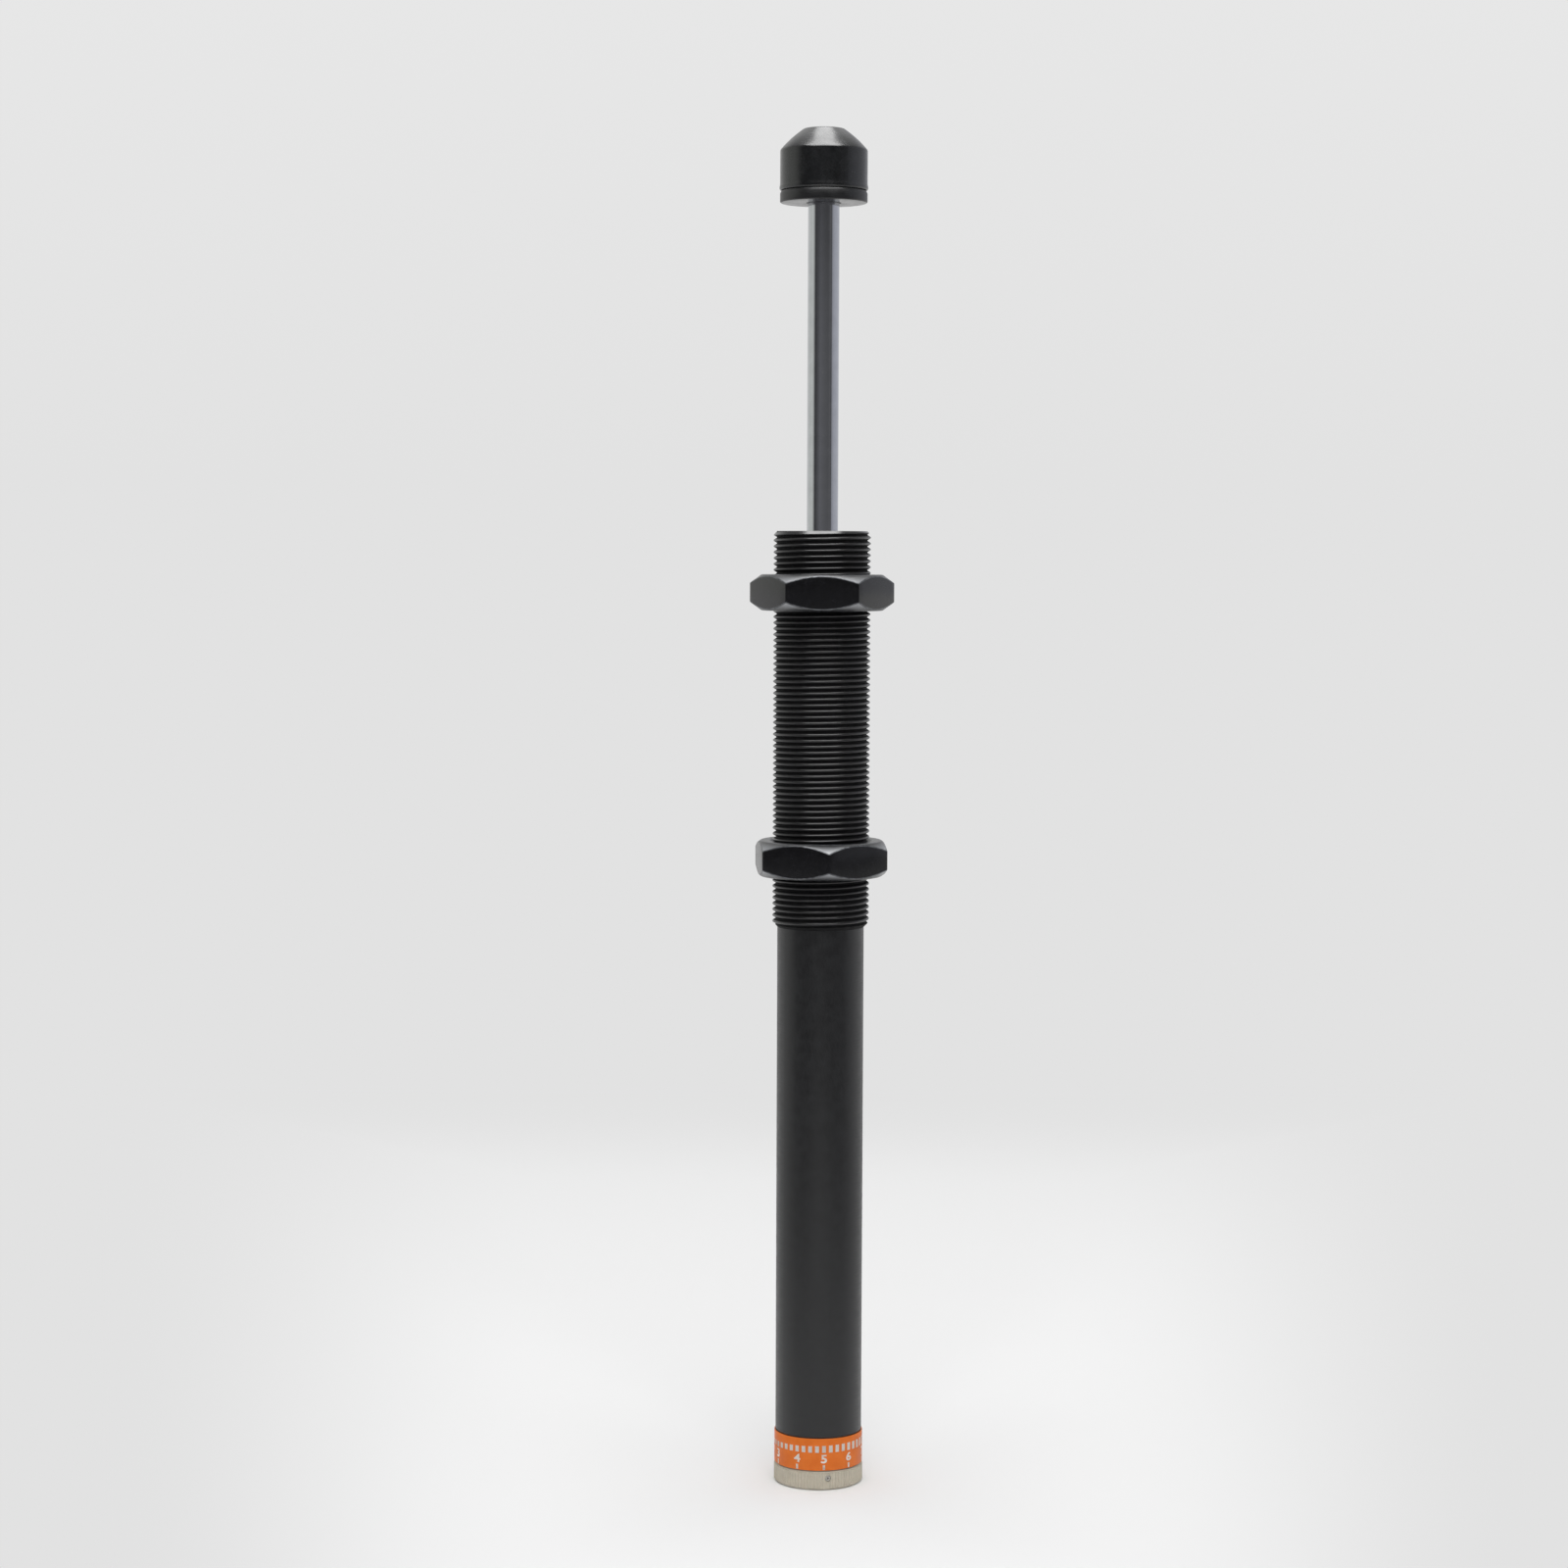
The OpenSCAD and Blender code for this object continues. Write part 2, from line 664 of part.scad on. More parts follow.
module return_spring() {
    steps_per_turn = 12;
    sides = 6;
    steps = steps_per_turn * (spring_turns + 2);
    low = spring_z + wire_d / 2 + seat;
    high = piston_z - wire_d / 2 - seat;
    points = [for (i = [0 : steps], j = [0 : sides - 1])
        let (r = spring_mean_r + wire_d / 2 * cos(90 + j * 360 / sides),
            a = i * 360 / steps_per_turn)
        [r * cos(a), r * sin(a), spring_rise(i / steps_per_turn, low, high)
            + wire_d / 2 * sin(90 + j * 360 / sides)]];
    sides_of = [for (i = [0 : steps - 1], j = [0 : sides - 1]) let (k = (j + 1) % sides)
        [i * sides + j, i * sides + k, (i + 1) * sides + k, (i + 1) * sides + j]];
    ends = [[for (j = [sides - 1 : -1 : 0]) j], [for (j = [0 : sides - 1]) steps * sides + j]];
    color("#b8babb") polyhedron(points, concat(sides_of, ends), convexity = 20);
}

// Outline of the button's barbed hub, also the hollow that it fills in the urethane
module hub_outline(gap) {
    r = hub_d / 2 + gap;
    barb_z = hub_top - barb_h;
    tip_h = 1.2;
    tip_w = 0.8;
    polygon([[0, cap_z - gap], [r, cap_z - gap], [r, barb_z - gap], [r + barb, barb_z - gap],
        [r + barb, hub_top - tip_h], [r - tip_w, hub_top + gap], [0, hub_top + gap]]);
}

module strike_button() {
    socket_r = rod_d / 2 + seat;
    socket_edge = 0.5;
    color("#3f4245") difference() {
        union() {
            chamfered_disc(cap_d / 2, button_z, button_rim_h, edge, edge);
            rotate_extrude() hub_outline(0);
        }
        disc(socket_r, button_z - over, socket_depth + over);
        disc(top_stud_r + seat, button_z, socket_depth + top_stud_l + step);
        cone(socket_r + socket_edge + step, socket_r, button_z - step, socket_edge + step);
    }
}

// The cap's outline: a lip at its foot, a cylinder, a rounded shoulder, a 45 degree cone and a rounded nose
module cap_outline() {
    r = cap_d / 2;
    shoulder_z = cap_z + cap_cylinder_h;
    round_c = [r - shoulder_r, shoulder_z - shoulder_r * tan(22.5)];
    nose_c = [nose_d / 2 - nose_r * tan(22.5), cap_z + cap_h - nose_r];
    difference() {
        union() {
            polygon([[0, cap_z], [r - cap_lip, cap_z], [r + cap_lip, cap_z + 2 * cap_lip],
                [r + cap_lip, cap_z + cap_lip_h * 0.7], [r, cap_z + cap_lip_h], [r, round_c.y],
                round_c + shoulder_r * [cos(45), sin(45)],
                nose_c + nose_r * [cos(45), sin(45)], [nose_c.x, cap_z + cap_h], [0, cap_z + cap_h]]);
            translate(round_c) circle(r = shoulder_r);
            translate(nose_c) circle(r = nose_r);
        }
        hub_outline(seat);
    }
}

module urethane_cap() {
    color("#17181a") rotate_extrude() cap_outline();
}

module lock_nut(z, turn) {
    color("#2a2c30") translate([0, 0, z])
        hex_nut(nut_flats, nut_h, thread_d / 2 + running, nut_chamfer_angle, thread_pitch * 0.5, turn);
}

module front_lock_nut() {
    lock_nut(front_nut_z, front_nut_turn);
}

module rear_lock_nut() {
    lock_nut(rear_nut_z, rear_nut_turn);
}

housing_tube();
rear_cap();
scale_band();
rear_cap_oring();
adjuster_knob();
knob_set_screw();
knob_screw();
stop_pin();
adjuster_spindle();
spindle_oring();
metering_sleeve();
guide_pins();
tube_plug();
plug_oring();
pressure_tube();
gland();
gland_oring();
rod_bearing();
rod_seal();
seal_washer();
rod_wiper();
retaining_ring();
accumulator_foam();
piston_rod();
piston();
check_ring();
piston_nut();
return_spring();
strike_button();
urethane_cap();
front_lock_nut();
rear_lock_nut();
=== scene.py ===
import json
import math

import bmesh
import bpy
from mathutils import Matrix, Vector


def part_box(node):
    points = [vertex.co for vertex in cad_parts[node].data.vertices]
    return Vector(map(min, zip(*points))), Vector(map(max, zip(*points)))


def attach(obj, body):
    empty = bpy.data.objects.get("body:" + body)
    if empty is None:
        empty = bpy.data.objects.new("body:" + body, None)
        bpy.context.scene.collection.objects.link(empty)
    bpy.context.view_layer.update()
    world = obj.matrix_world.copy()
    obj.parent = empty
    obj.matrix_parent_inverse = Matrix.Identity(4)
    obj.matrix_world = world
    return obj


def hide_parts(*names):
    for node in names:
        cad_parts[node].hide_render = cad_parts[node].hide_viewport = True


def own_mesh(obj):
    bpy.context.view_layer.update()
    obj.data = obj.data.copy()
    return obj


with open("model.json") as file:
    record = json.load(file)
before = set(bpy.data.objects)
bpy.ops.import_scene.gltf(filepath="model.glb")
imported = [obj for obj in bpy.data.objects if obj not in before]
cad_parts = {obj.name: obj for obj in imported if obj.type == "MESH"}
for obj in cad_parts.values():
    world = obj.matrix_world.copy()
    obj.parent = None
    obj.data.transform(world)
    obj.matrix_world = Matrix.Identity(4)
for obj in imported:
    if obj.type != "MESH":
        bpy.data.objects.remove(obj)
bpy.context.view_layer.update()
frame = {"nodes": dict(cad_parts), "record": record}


# HOUSING TUBE
# One steel tube that holds the oil and everything that moves in it. It is turned from bar, its front part
# has a right-hand M25 x 1.5 thread rolled on it for the lock nuts, and it is blackened in an oxide bath.

MM = 0.001


def span(node):
    """The lowest and highest corner of a node in millimetres."""
    low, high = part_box(node)
    return low / MM, high / MM


def at(r, azimuth, z):
    """The point at that radius and height, turned from the front towards the right by that angle."""
    turn = math.radians(azimuth)
    return Vector((r * math.sin(turn), -r * math.cos(turn), z))


def arc(r, z, radius, start, end, count=6):
    """Points of an arc round (r, z); the angle counts from straight out towards straight up."""
    angles = [math.radians(start + (end - start) * i / count) for i in range(count + 1)]
    return [(r + radius * math.cos(a), z + radius * math.sin(a)) for a in angles]


def whole(bm):
    """All the geometry of a mesh, as an operator takes it."""
    return bm.verts[:] + bm.edges[:] + bm.faces[:]


def only(kind, geometry):
    """The items of one kind, such as its edges, of what an operator gives back."""
    return [item for item in geometry if isinstance(item, kind)]


def linear(colour):
    """A hex colour as a shader takes it."""
    parts = [int(colour[i:i + 2], 16) / 255 for i in (0, 2, 4)]
    return (*[p / 12.92 if p <= 0.04045 else ((p + 0.055) / 1.055) ** 2.4 for p in parts], 1.0)


def add_node(tree, kind, settings=None, links=None):
    """A node of that kind: settings go to its properties or to its inputs, links feed its inputs."""
    node = tree.nodes.new(kind)
    for key, value in (settings or {}).items():
        if isinstance(key, str) and hasattr(node, key):
            setattr(node, key, value)
        else:
            node.inputs[key].default_value = value
    for key, socket in (links or {}).items():
        tree.links.new(socket, node.inputs[key])
    return node


def surface(name, dark, light, rough, mottle, grain, depth, metallic=0.0, specular=0.5):
    """A finish that drifts from dark to light, and in roughness, over about mottle millimetres. Its grain
    has so many marks per millimetre along X, Y and Z, that deep in millimetres."""
    material = bpy.data.materials.new(name)
    material.use_nodes = True
    tree = material.node_tree
    tree.nodes.clear()
    place = add_node(tree, "ShaderNodeTexCoord").outputs["Object"]
    drift = add_node(tree, "ShaderNodeTexNoise", {"Scale": 1 / (mottle * MM), "Detail": 4.0},
                     {"Vector": place}).outputs["Fac"]
    marks = add_node(tree, "ShaderNodeMapping", {"Scale": [g / MM for g in grain]}, {"Vector": place})
    fine = add_node(tree, "ShaderNodeTexNoise", {"Scale": 1.0, "Detail": 2.0},
                    {"Vector": marks.outputs[0]}).outputs["Fac"]
    share = add_node(tree, "ShaderNodeMapRange", {"From Min": 0.32, "From Max": 0.68}, {"Value": drift})
    colour = add_node(tree, "ShaderNodeMix", {"data_type": "RGBA", 6: linear(dark), 7: linear(light)},
                      {0: share.outputs[0]})
    colour.name = "colour"
    gloss = add_node(tree, "ShaderNodeMath", {"operation": "ADD"}, {0: drift, 1: fine})
    roughness = add_node(tree, "ShaderNodeMapRange",
                         {"From Min": 0.7, "From Max": 1.3, "To Min": rough[0], "To Max": rough[1]},
                         {"Value": gloss.outputs[0]})
    relief = add_node(tree, "ShaderNodeBump", {"Strength": 1.0, "Distance": depth * MM}, {"Height": fine})
    shader = add_node(tree, "ShaderNodeBsdfPrincipled",
                      {"Metallic": metallic, "Specular IOR Level": specular},
                      {"Base Color": colour.outputs[2], "Roughness": roughness.outputs[0],
                       "Normal": relief.outputs[0]})
    shader.name = "finish"
    add_node(tree, "ShaderNodeOutputMaterial", links={0: shader.outputs[0]})
    return material


def by_radius(material, inner, outer):
    """A socket in the material that goes from 0 to 1 between those radii, in millimetres."""
    tree = material.node_tree
    place = add_node(tree, "ShaderNodeTexCoord").outputs["Object"]
    across = add_node(tree, "ShaderNodeVectorMath", {"operation": "MULTIPLY", 1: (1, 1, 0)}, {0: place})
    from_axis = add_node(tree, "ShaderNodeVectorMath", {"operation": "LENGTH"}, {0: across.outputs[0]})
    return add_node(tree, "ShaderNodeMapRange", {"From Min": inner * MM, "From Max": outer * MM},
                    {"Value": from_axis.outputs["Value"]}).outputs[0]


def in_scene(name, bm):
    """An object made of that mesh, where the mesh is."""
    mesh = bpy.data.meshes.new(name)
    bm.to_mesh(mesh)
    bm.free()
    made = bpy.data.objects.new(name, mesh)
    bpy.context.scene.collection.objects.link(made)
    return made


def finished(name, bm, materials, slot, body, *nodes, smooth=24):
    """Brings a piece made in millimetres into the frame and fixes it to its body. It is shaded smooth where
    its faces meet at less than that angle."""
    bmesh.ops.recalc_face_normals(bm, faces=bm.faces)
    for face in bm.faces:
        face.smooth = True
    for edge in bm.edges:
        edge.smooth = len(edge.link_faces) == 2 and edge.calc_face_angle() < math.radians(smooth)
    bmesh.ops.scale(bm, vec=(MM, MM, MM), verts=bm.verts)
    piece = in_scene(name, bm)
    for material in materials:
        piece.data.materials.append(material)
    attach(piece, body)
    if nodes:
        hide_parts(*nodes)
    return piece


tube_low, tube_high = span("housing_tube")
ring_low, ring_high = span("retaining_ring")
plain_l = 130.9
run_out = 1.3
crest_r = tube_high.x
plain_r = crest_r - run_out
thread_z = tube_low.z + plain_l
front_lift = 0.3
face_z = tube_high.z + front_lift

pitch = 1.5
thread_depth = 0.84
root_round = 0.05
flank_foot = 0.62
crest_round = 0.28
first_crest = 0.33
steps_per_turn = 72
worn_depth = 0.1

mouth_chamfer = 1.0
mouth_step = 0.8
mouth_edge = 0.32
cone_rings = 8
bore_r = 9.52
bore_chamfer = 0.4
rear_chamfer = 0.6
rear_round = 0.25
even_shade = 0.4
ring_play = 0.03
ring_groove_r = 10.22


def mouth_cone(z):
    """The radius of the chamfer round the mouth at that height."""
    return crest_r - mouth_step + (face_z - z) * mouth_step / mouth_chamfer


# one ridge of the thread, from root to root, with 60 degrees between its flanks and a rolled crest, is led
# round one turn, and the turn is copied up the tube, twice as many at a time
root_r = crest_r - thread_depth
ridge = ([(root_r, -pitch / 2), (root_r + root_round, -flank_foot)]
         + arc(crest_r - crest_round, 0, crest_round, -60, 60)
         + [(root_r + root_round, flank_foot), (root_r, pitch / 2)])
housing = bmesh.new()
points = [housing.verts.new(at(r, 0, thread_z - pitch + first_crest + z)) for r, z in ridge]
edges = [housing.edges.new(pair) for pair in zip(points, points[1:])]
bmesh.ops.spin(housing, geom=points + edges, cent=(0, 0, 0), axis=(0, 0, 1),
               dvec=(0, 0, pitch / steps_per_turn), angle=math.tau, steps=steps_per_turn)
thread_turns = 1
while thread_turns * pitch < face_z - thread_z + 2 * pitch:
    copied = bmesh.ops.duplicate(housing, geom=whole(housing))["geom"]
    bmesh.ops.translate(housing, verts=only(bmesh.types.BMVert, copied), vec=(0, 0, thread_turns * pitch))
    thread_turns *= 2
bmesh.ops.remove_doubles(housing, verts=housing.verts, dist=0.004)

# both its ends are turned to a cone after that: fine rings of edges first, then the ridges are taken down
for low, high in ((thread_z, thread_z + run_out), (face_z - mouth_chamfer, face_z)):
    for i in range(cone_rings + 1):
        bmesh.ops.bisect_plane(housing, geom=whole(housing), dist=0.0001, plane_no=(0, 0, 1),
                               plane_co=(0, 0, low + (high - low) * i / cone_rings),
                               clear_inner=low == thread_z and i == 0,
                               clear_outer=high == face_z and i == cone_rings)
for vert in housing.verts:
    limit = min(plain_r + vert.co.z - thread_z, mouth_cone(vert.co.z))
    if vert.co.xy.length > limit:
        vert.co.xy *= limit / vert.co.xy.length
for face in housing.faces:
    on_mouth = all(v.co.xy.length > mouth_cone(v.co.z) - 0.01 for v in face.verts)
    face.material_index = 2 if on_mouth else 1

# the plain part, the rear end, the bore and the groove of the retaining ring grow from the thread's last
# edge; a loop of edges near either end of the plain part keeps its shading even
rim = [e for e in housing.edges if e.is_boundary and e.verts[0].co.z < thread_z + 0.01]
for r, z in [(plain_r, thread_z - even_shade), (plain_r, tube_low.z + 2 * rear_round),
             *arc(plain_r - rear_round, tube_low.z + rear_round, rear_round, 0, -90, 2),
             (bore_r + rear_chamfer, tube_low.z), (bore_r, tube_low.z + rear_chamfer),
             (bore_r, ring_low.z - ring_play), (ring_groove_r, ring_low.z - ring_play),
             (ring_groove_r, ring_high.z + ring_play), (bore_r, ring_high.z + ring_play),
             (bore_r, face_z - bore_chamfer), (bore_r + bore_chamfer, face_z),
             (crest_r - mouth_step - mouth_edge, face_z)]:
    grown = bmesh.ops.extrude_edge_only(housing, edges=rim)["geom"]
    rim = only(bmesh.types.BMEdge, grown)
    for face in only(bmesh.types.BMFace, grown):
        face.material_index = 0
    for vert in only(bmesh.types.BMVert, grown):
        vert.co.xy *= r / vert.co.xy.length
        vert.co.z = z
bmesh.ops.bridge_loops(housing, edges=[e for e in housing.edges if e.is_boundary])

# the oxide is a thin black skin that holds oil, so it shines softly across the marks of the lathe
black_oxide = surface("black_oxide_on_turned_steel", "0c0c0e", "131416", rough=(0.34, 0.46), mottle=2.4,
                      grain=(0.25, 0.25, 7.0), depth=0.0012, specular=0.62)
# the crests are burnished by the nuts and glint, while oil and dirt dull the roots
thread_oxide = surface("black_oxide_on_rolled_thread", "0c0c0d", "131314", rough=(0.27, 0.36), mottle=1.2,
                       grain=(0.25, 0.25, 1.0), depth=0.0004)
burnished = by_radius(thread_oxide, crest_r - thread_depth / 2, crest_r - worn_depth)
tree = thread_oxide.node_tree
for socket, at_root, at_crest in (("Specular IOR Level", 0.2, 0.75), ("Roughness", 0.7, 0.3)):
    level = add_node(tree, "ShaderNodeMapRange", {"To Min": at_root, "To Max": at_crest},
                     {"Value": burnished})
    tree.links.new(level.outputs[0], tree.nodes["finish"].inputs[socket])
# the chamfer of the mouth is ground before the bath, and reflects the lamps above almost sharply
ground_oxide = surface("black_oxide_on_ground_steel", "101012", "1a1b1d", rough=(0.17, 0.26), mottle=1.5,
                       grain=(0.5, 0.5, 6.0), depth=0.001, specular=0.7)
finished("threaded_housing", housing, [black_oxide, thread_oxide, ground_oxide], "black_oxide_steel",
         "housing", "housing_tube")


# LOCK NUTS
# Two hexagon nuts, milled from bar, faced and chamfered on both sides, and blackened. They clamp a
# bracket's wall between them, and each runs along the housing's thread.


def turned(bm, outline, steps, azimuth=0.0):
    """Turns an outline of radius and height points a full turn round the axis. One that ends where it
    starts makes a ring."""
    ring = outline[0] == outline[-1]
    points = [bm.verts.new(at(r, azimuth, z)) for r, z in (outline[:-1] if ring else outline)]
    pairs = list(zip(points, points[1:])) + ([(points[-1], points[0])] if ring else [])
    edges = [bm.edges.new(pair) for pair in pairs]
    bmesh.ops.spin(bm, geom=points + edges, cent=(0, 0, 0), axis=(0, 0, 1), angle=math.tau, steps=steps,
                   use_merge=True)
    bmesh.ops.remove_doubles(bm, verts=bm.verts, dist=0.0005)


sharp_angle = math.radians(30)


def soften(bm, width, index=0):
    """Breaks each sharp edge with a narrow bevel, which takes the material of that index."""
    bm.normal_update()
    sharp = [e for e in bm.edges if len(e.link_faces) == 2 and e.calc_face_angle() > sharp_angle]
    bevel = bmesh.ops.bevel(bm, geom=sharp, offset=width, offset_type="OFFSET", affect="EDGES",
                            segments=2, profile=0.5, material=-1, clamp_overlap=True)
    for face in bevel["faces"]:
        face.material_index = index


flat_r = 16.02
blank_r = 20.0
blank_steps = 144
nut_face_r = flat_r - 0.55
nut_bore_r = crest_r + 0.05
countersink = 0.75
nut_edge = 0.22
corner_drop = (blank_r - nut_face_r) * math.tan(math.radians(36))
front_nut_azimuth = -0.5
rear_nut_azimuth = 36.0


def lock_nut(name, node, body, azimuth):
    """A nut of the node's thickness: a turned blank with a countersunk bore, cut by six flats. One of them
    faces that azimuth."""
    low, high = span(node)
    nut = bmesh.new()
    turned(nut, [(nut_bore_r, low.z + countersink), (nut_bore_r + countersink, low.z),
                 (nut_face_r, low.z), (blank_r, low.z + corner_drop),
                 (blank_r, high.z - corner_drop), (nut_face_r, high.z),
                 (nut_bore_r + countersink, high.z), (nut_bore_r, high.z - countersink),
                 (nut_bore_r, low.z + countersink)], blank_steps, azimuth + 30)
    for side in range(6):
        flat = at(flat_r, azimuth + 60 * side, 0)
        cut = bmesh.ops.bisect_plane(nut, geom=whole(nut), dist=0.0005, plane_co=flat,
                                     plane_no=flat.normalized(), clear_outer=True)["geom_cut"]
        bmesh.ops.edgeloop_fill(nut, edges=only(bmesh.types.BMEdge, cut))
    for face in nut.faces:
        face.material_index = 1
    soften(nut, nut_edge, index=2)
    nut.normal_update()
    for face in nut.faces:
        if abs(face.normal.z) < 0.1:
            face.material_index = 0
    finished(name, nut, [nut_oxide, nut_turned, nut_edge_highlight], "black_oxide_nut", body, node)


# the milled flats are smooth, so they show the dark room and look the blackest
nut_oxide = surface("black_oxide_on_milled_steel", "08080a", "0e0e11", rough=(0.20, 0.28), mottle=1.6,
                    grain=(1.5, 1.5, 5.0), depth=0.0006)
# the turned faces and chamfers are greyer; towards the corners they are painted a pale steel grey, a
# painted highlight in place of the lamps' glint on the corner chamfers
nut_turned = surface("black_oxide_on_turned_faces", "101113", "191b1d", rough=(0.28, 0.38), mottle=1.1,
                     grain=(2.0, 2.0, 7.0), depth=0.0008, metallic=0.05)
# painted highlight: the corner chamfers turn pale grey between these radii
painted_corner_glint = by_radius(nut_turned, flat_r - 0.12, flat_r + 1.78)
tree = nut_turned.node_tree
corner_glint_colour = add_node(tree, "ShaderNodeMix", {"data_type": "RGBA", 7: linear("8c8e91")},
                {0: painted_corner_glint, 6: tree.nodes["colour"].outputs[2]})
tree.links.new(corner_glint_colour.outputs[2], tree.nodes["finish"].inputs["Base Color"])
# a fine grey line is painted along the broken edges, a painted highlight of the lamps on them
nut_edge_highlight = surface("black_oxide_edge_highlight", "3c3d40", "66686b", rough=(0.30, 0.42), mottle=0.9,
                   grain=(2.0, 2.0, 7.0), depth=0.0008, metallic=0.5)
lock_nut("front_nut_milled", "front_lock_nut", "front_nut", front_nut_azimuth)
lock_nut("rear_nut_milled", "rear_lock_nut", "rear_nut", rear_nut_azimuth)


# PISTON ROD
# An 8 mm steel rod, hard-chromed and ground round. Its rear stud holds the piston, and its front stud the
# strike button.

rod_low, rod_high = span("piston_rod")
rod_r = rod_high.x
rear_stud_r = 2.5
rear_stud_l = 17.0
front_stud_r = 3.0
front_stud_l = 7.2
front_stud_edge = 0.3
rod_edge = 0.4
shoulder_edge = 0.2
shank_z = rod_high.z - front_stud_l
round_steps = 128
rod = bmesh.new()
turned(rod, [(0, rod_low.z), (rear_stud_r - rod_edge, rod_low.z), (rear_stud_r, rod_low.z + rod_edge),
             (rear_stud_r, rod_low.z + rear_stud_l), (rod_r - rod_edge, rod_low.z + rear_stud_l),
             (rod_r, rod_low.z + rear_stud_l + rod_edge), (rod_r, shank_z - shoulder_edge),
             (rod_r - shoulder_edge, shank_z), (front_stud_r, shank_z),
             (front_stud_r, rod_high.z - front_stud_edge), (front_stud_r - front_stud_edge, rod_high.z),
             (0, rod_high.z)], round_steps)
# it mirrors the room as long upright bands, with a faint haze from the wheel's marks
chrome = surface("hard_chrome_ground", "c0c2c6", "c8cace", rough=(0.09, 0.14), mottle=3.0,
                 grain=(1.2, 1.2, 14.0), depth=0.00015, metallic=1.0)
finished("chromed_rod", rod, [chrome], "hard_chrome", "rod", "piston_rod")


# STRIKE BUTTON AND URETHANE CAP
# A blackened steel button is screwed on the rod's end. A cap of black cast urethane, which takes the blow
# quietly, is pressed over its barbed hub. The cap has a lip at its foot, a 45 degree cone and a flat nose.

button_low, button_high = span("strike_button")
cap_low, cap_high = span("urethane_cap")
play = 0.02
rim_r = button_high.x
rim_edge = 0.25
joint_z = cap_low.z + 0.4
hub_r = 6.0
hub_top = rod_high.z + 1
hub_crown = 0.9
hub_nose_r = hub_r - 0.8
barb_r = hub_r + 1.25
barb_low = hub_top - 3
barb_high = hub_top - 1.2
rod_countersink = 0.5
rim_taper = 0.85
button_edge = 0.06
button = bmesh.new()
turned(button, [(0, hub_top - hub_crown), (front_stud_r + play, hub_top - hub_crown),
                (front_stud_r + play, shank_z), (rod_r + play, shank_z),
                (rod_r + play, button_low.z + rod_countersink), (rod_r + rod_countersink, button_low.z),
                (rim_r - rim_edge, button_low.z), (rim_r, button_low.z + rim_edge),
                (rim_r, joint_z - rim_taper), (rim_r - 0.26, joint_z - rim_edge), (rim_r - 0.4, joint_z),
                (hub_r, joint_z), (hub_r, barb_low), (barb_r, barb_low), (barb_r, barb_high),
                (hub_nose_r, hub_top), (0, hub_top)], round_steps)
soften(button, button_edge)
bmesh.ops.recalc_face_normals(button, faces=button.faces)
for face in button.faces:
    face.material_index = 1 if face.normal.z < -0.9 else 0
finished("strike_button_turned", button, [black_oxide, ground_oxide], "black_oxide_steel", "rod",
         "strike_button")

lip_r = cap_high.x
cap_r = lip_r - 0.15
lip_low = joint_z + 0.35
lip_high = joint_z + 0.75
shoulder_z = cap_low.z + 10.5
shoulder_round = 0.9
nose_r = 5.2
nose_round = 1.2
belly = 0.24
half_bend = math.tan(math.radians(22.5))
round_z = shoulder_z - shoulder_round * half_bend
cone_foot = Vector((cap_r - 0.27, shoulder_z + 0.27))
cone_head = Vector((nose_r + 0.35, cap_high.z - 0.35))
outward = Vector((0.67, 0.74))
cone = [tuple(cone_foot.lerp(cone_head, i / 8) + outward * belly * i * (8 - i) / 16)
        for i in range(1, 8)]
cap = bmesh.new()
turned(cap, [(0, hub_top + play), (hub_nose_r, hub_top + play), (barb_r + play, barb_high),
             (barb_r + play, barb_low - play), (hub_r + play, barb_low - play), (hub_r + play, joint_z),
             (cap_r - 0.1, joint_z), (cap_r, joint_z + 0.12), (lip_r, lip_low), (lip_r, lip_high),
             (lip_r - 0.04, lip_high + 0.25), (cap_r + play, lip_high + 0.65), (cap_r, lip_high + 1.05),
             (cap_r, round_z - 0.4)]
       + arc(cap_r - shoulder_round, round_z, shoulder_round, 0, 38)
       + cone
       + arc(nose_r - nose_round * half_bend, cap_high.z - nose_round, nose_round, 50, 90)
       + [(nose_r - nose_round, cap_high.z), (0, cap_high.z)], round_steps)
# cast against a polished mould, it has an even, slightly wavy skin that shines more than the oxide
urethane = surface("cast_urethane_black", "111213", "18191b", rough=(0.20, 0.30), mottle=2.0,
                   grain=(0.3, 0.3, 0.3), depth=0.004, specular=0.65)
finished("urethane_cap_cast", cap, [urethane], "urethane", "rod", "urethane_cap")


# ROD WIPER
# A ring of moulded nitrile rubber that sits in the gland at the housing's mouth. Its lip runs round the
# rod and keeps the dirt out.

wiper_low, wiper_high = span("rod_wiper")
wiper_shelf = wiper_high.z - 0.9
heel_r = rod_r + 0.52
lip_foot_r = rod_r + 1.62
lip_round = 0.2
wiper_steps = 96
wiper = bmesh.new()
turned(wiper, [(heel_r, wiper_low.z), (wiper_high.x, wiper_low.z), (wiper_high.x, wiper_shelf),
               (lip_foot_r, wiper_shelf)]
       + arc(rod_r + play + lip_round, wiper_high.z - lip_round, lip_round, 35, 145, 4)
       + [(rod_r + play, wiper_high.z - 0.8), (heel_r, wiper_high.z - 1.6), (heel_r, wiper_low.z)],
       wiper_steps)
# the rubber is a dull dark grey beside the oxide
nitrile = surface("nitrile_rubber_moulded", "141414", "1e1e1f", rough=(0.55, 0.68), mottle=1.2,
                  grain=(4.0, 4.0, 4.0), depth=0.006)
finished("rod_wiper_moulded", wiper, [nitrile], "nitrile_rubber", "housing", "rod_wiper")


# SCALE BAND
# A thin aluminium sleeve, anodised orange, is pressed on the rear cap's land. Its numerals and marks are
# printed in white: a number for each of the knob's settings, and bars that grow with the damping.

band_low, band_high = span("scale_band")
band_r = band_high.x
band_wall = 0.27
band_edge = 0.1
band_steps = 144
band = bmesh.new()
turned(band, [(band_r - band_wall, band_low.z), (band_r, band_low.z), (band_r, band_high.z),
              (band_r - band_wall, band_high.z), (band_r - band_wall, band_low.z)], band_steps)
soften(band, band_edge)
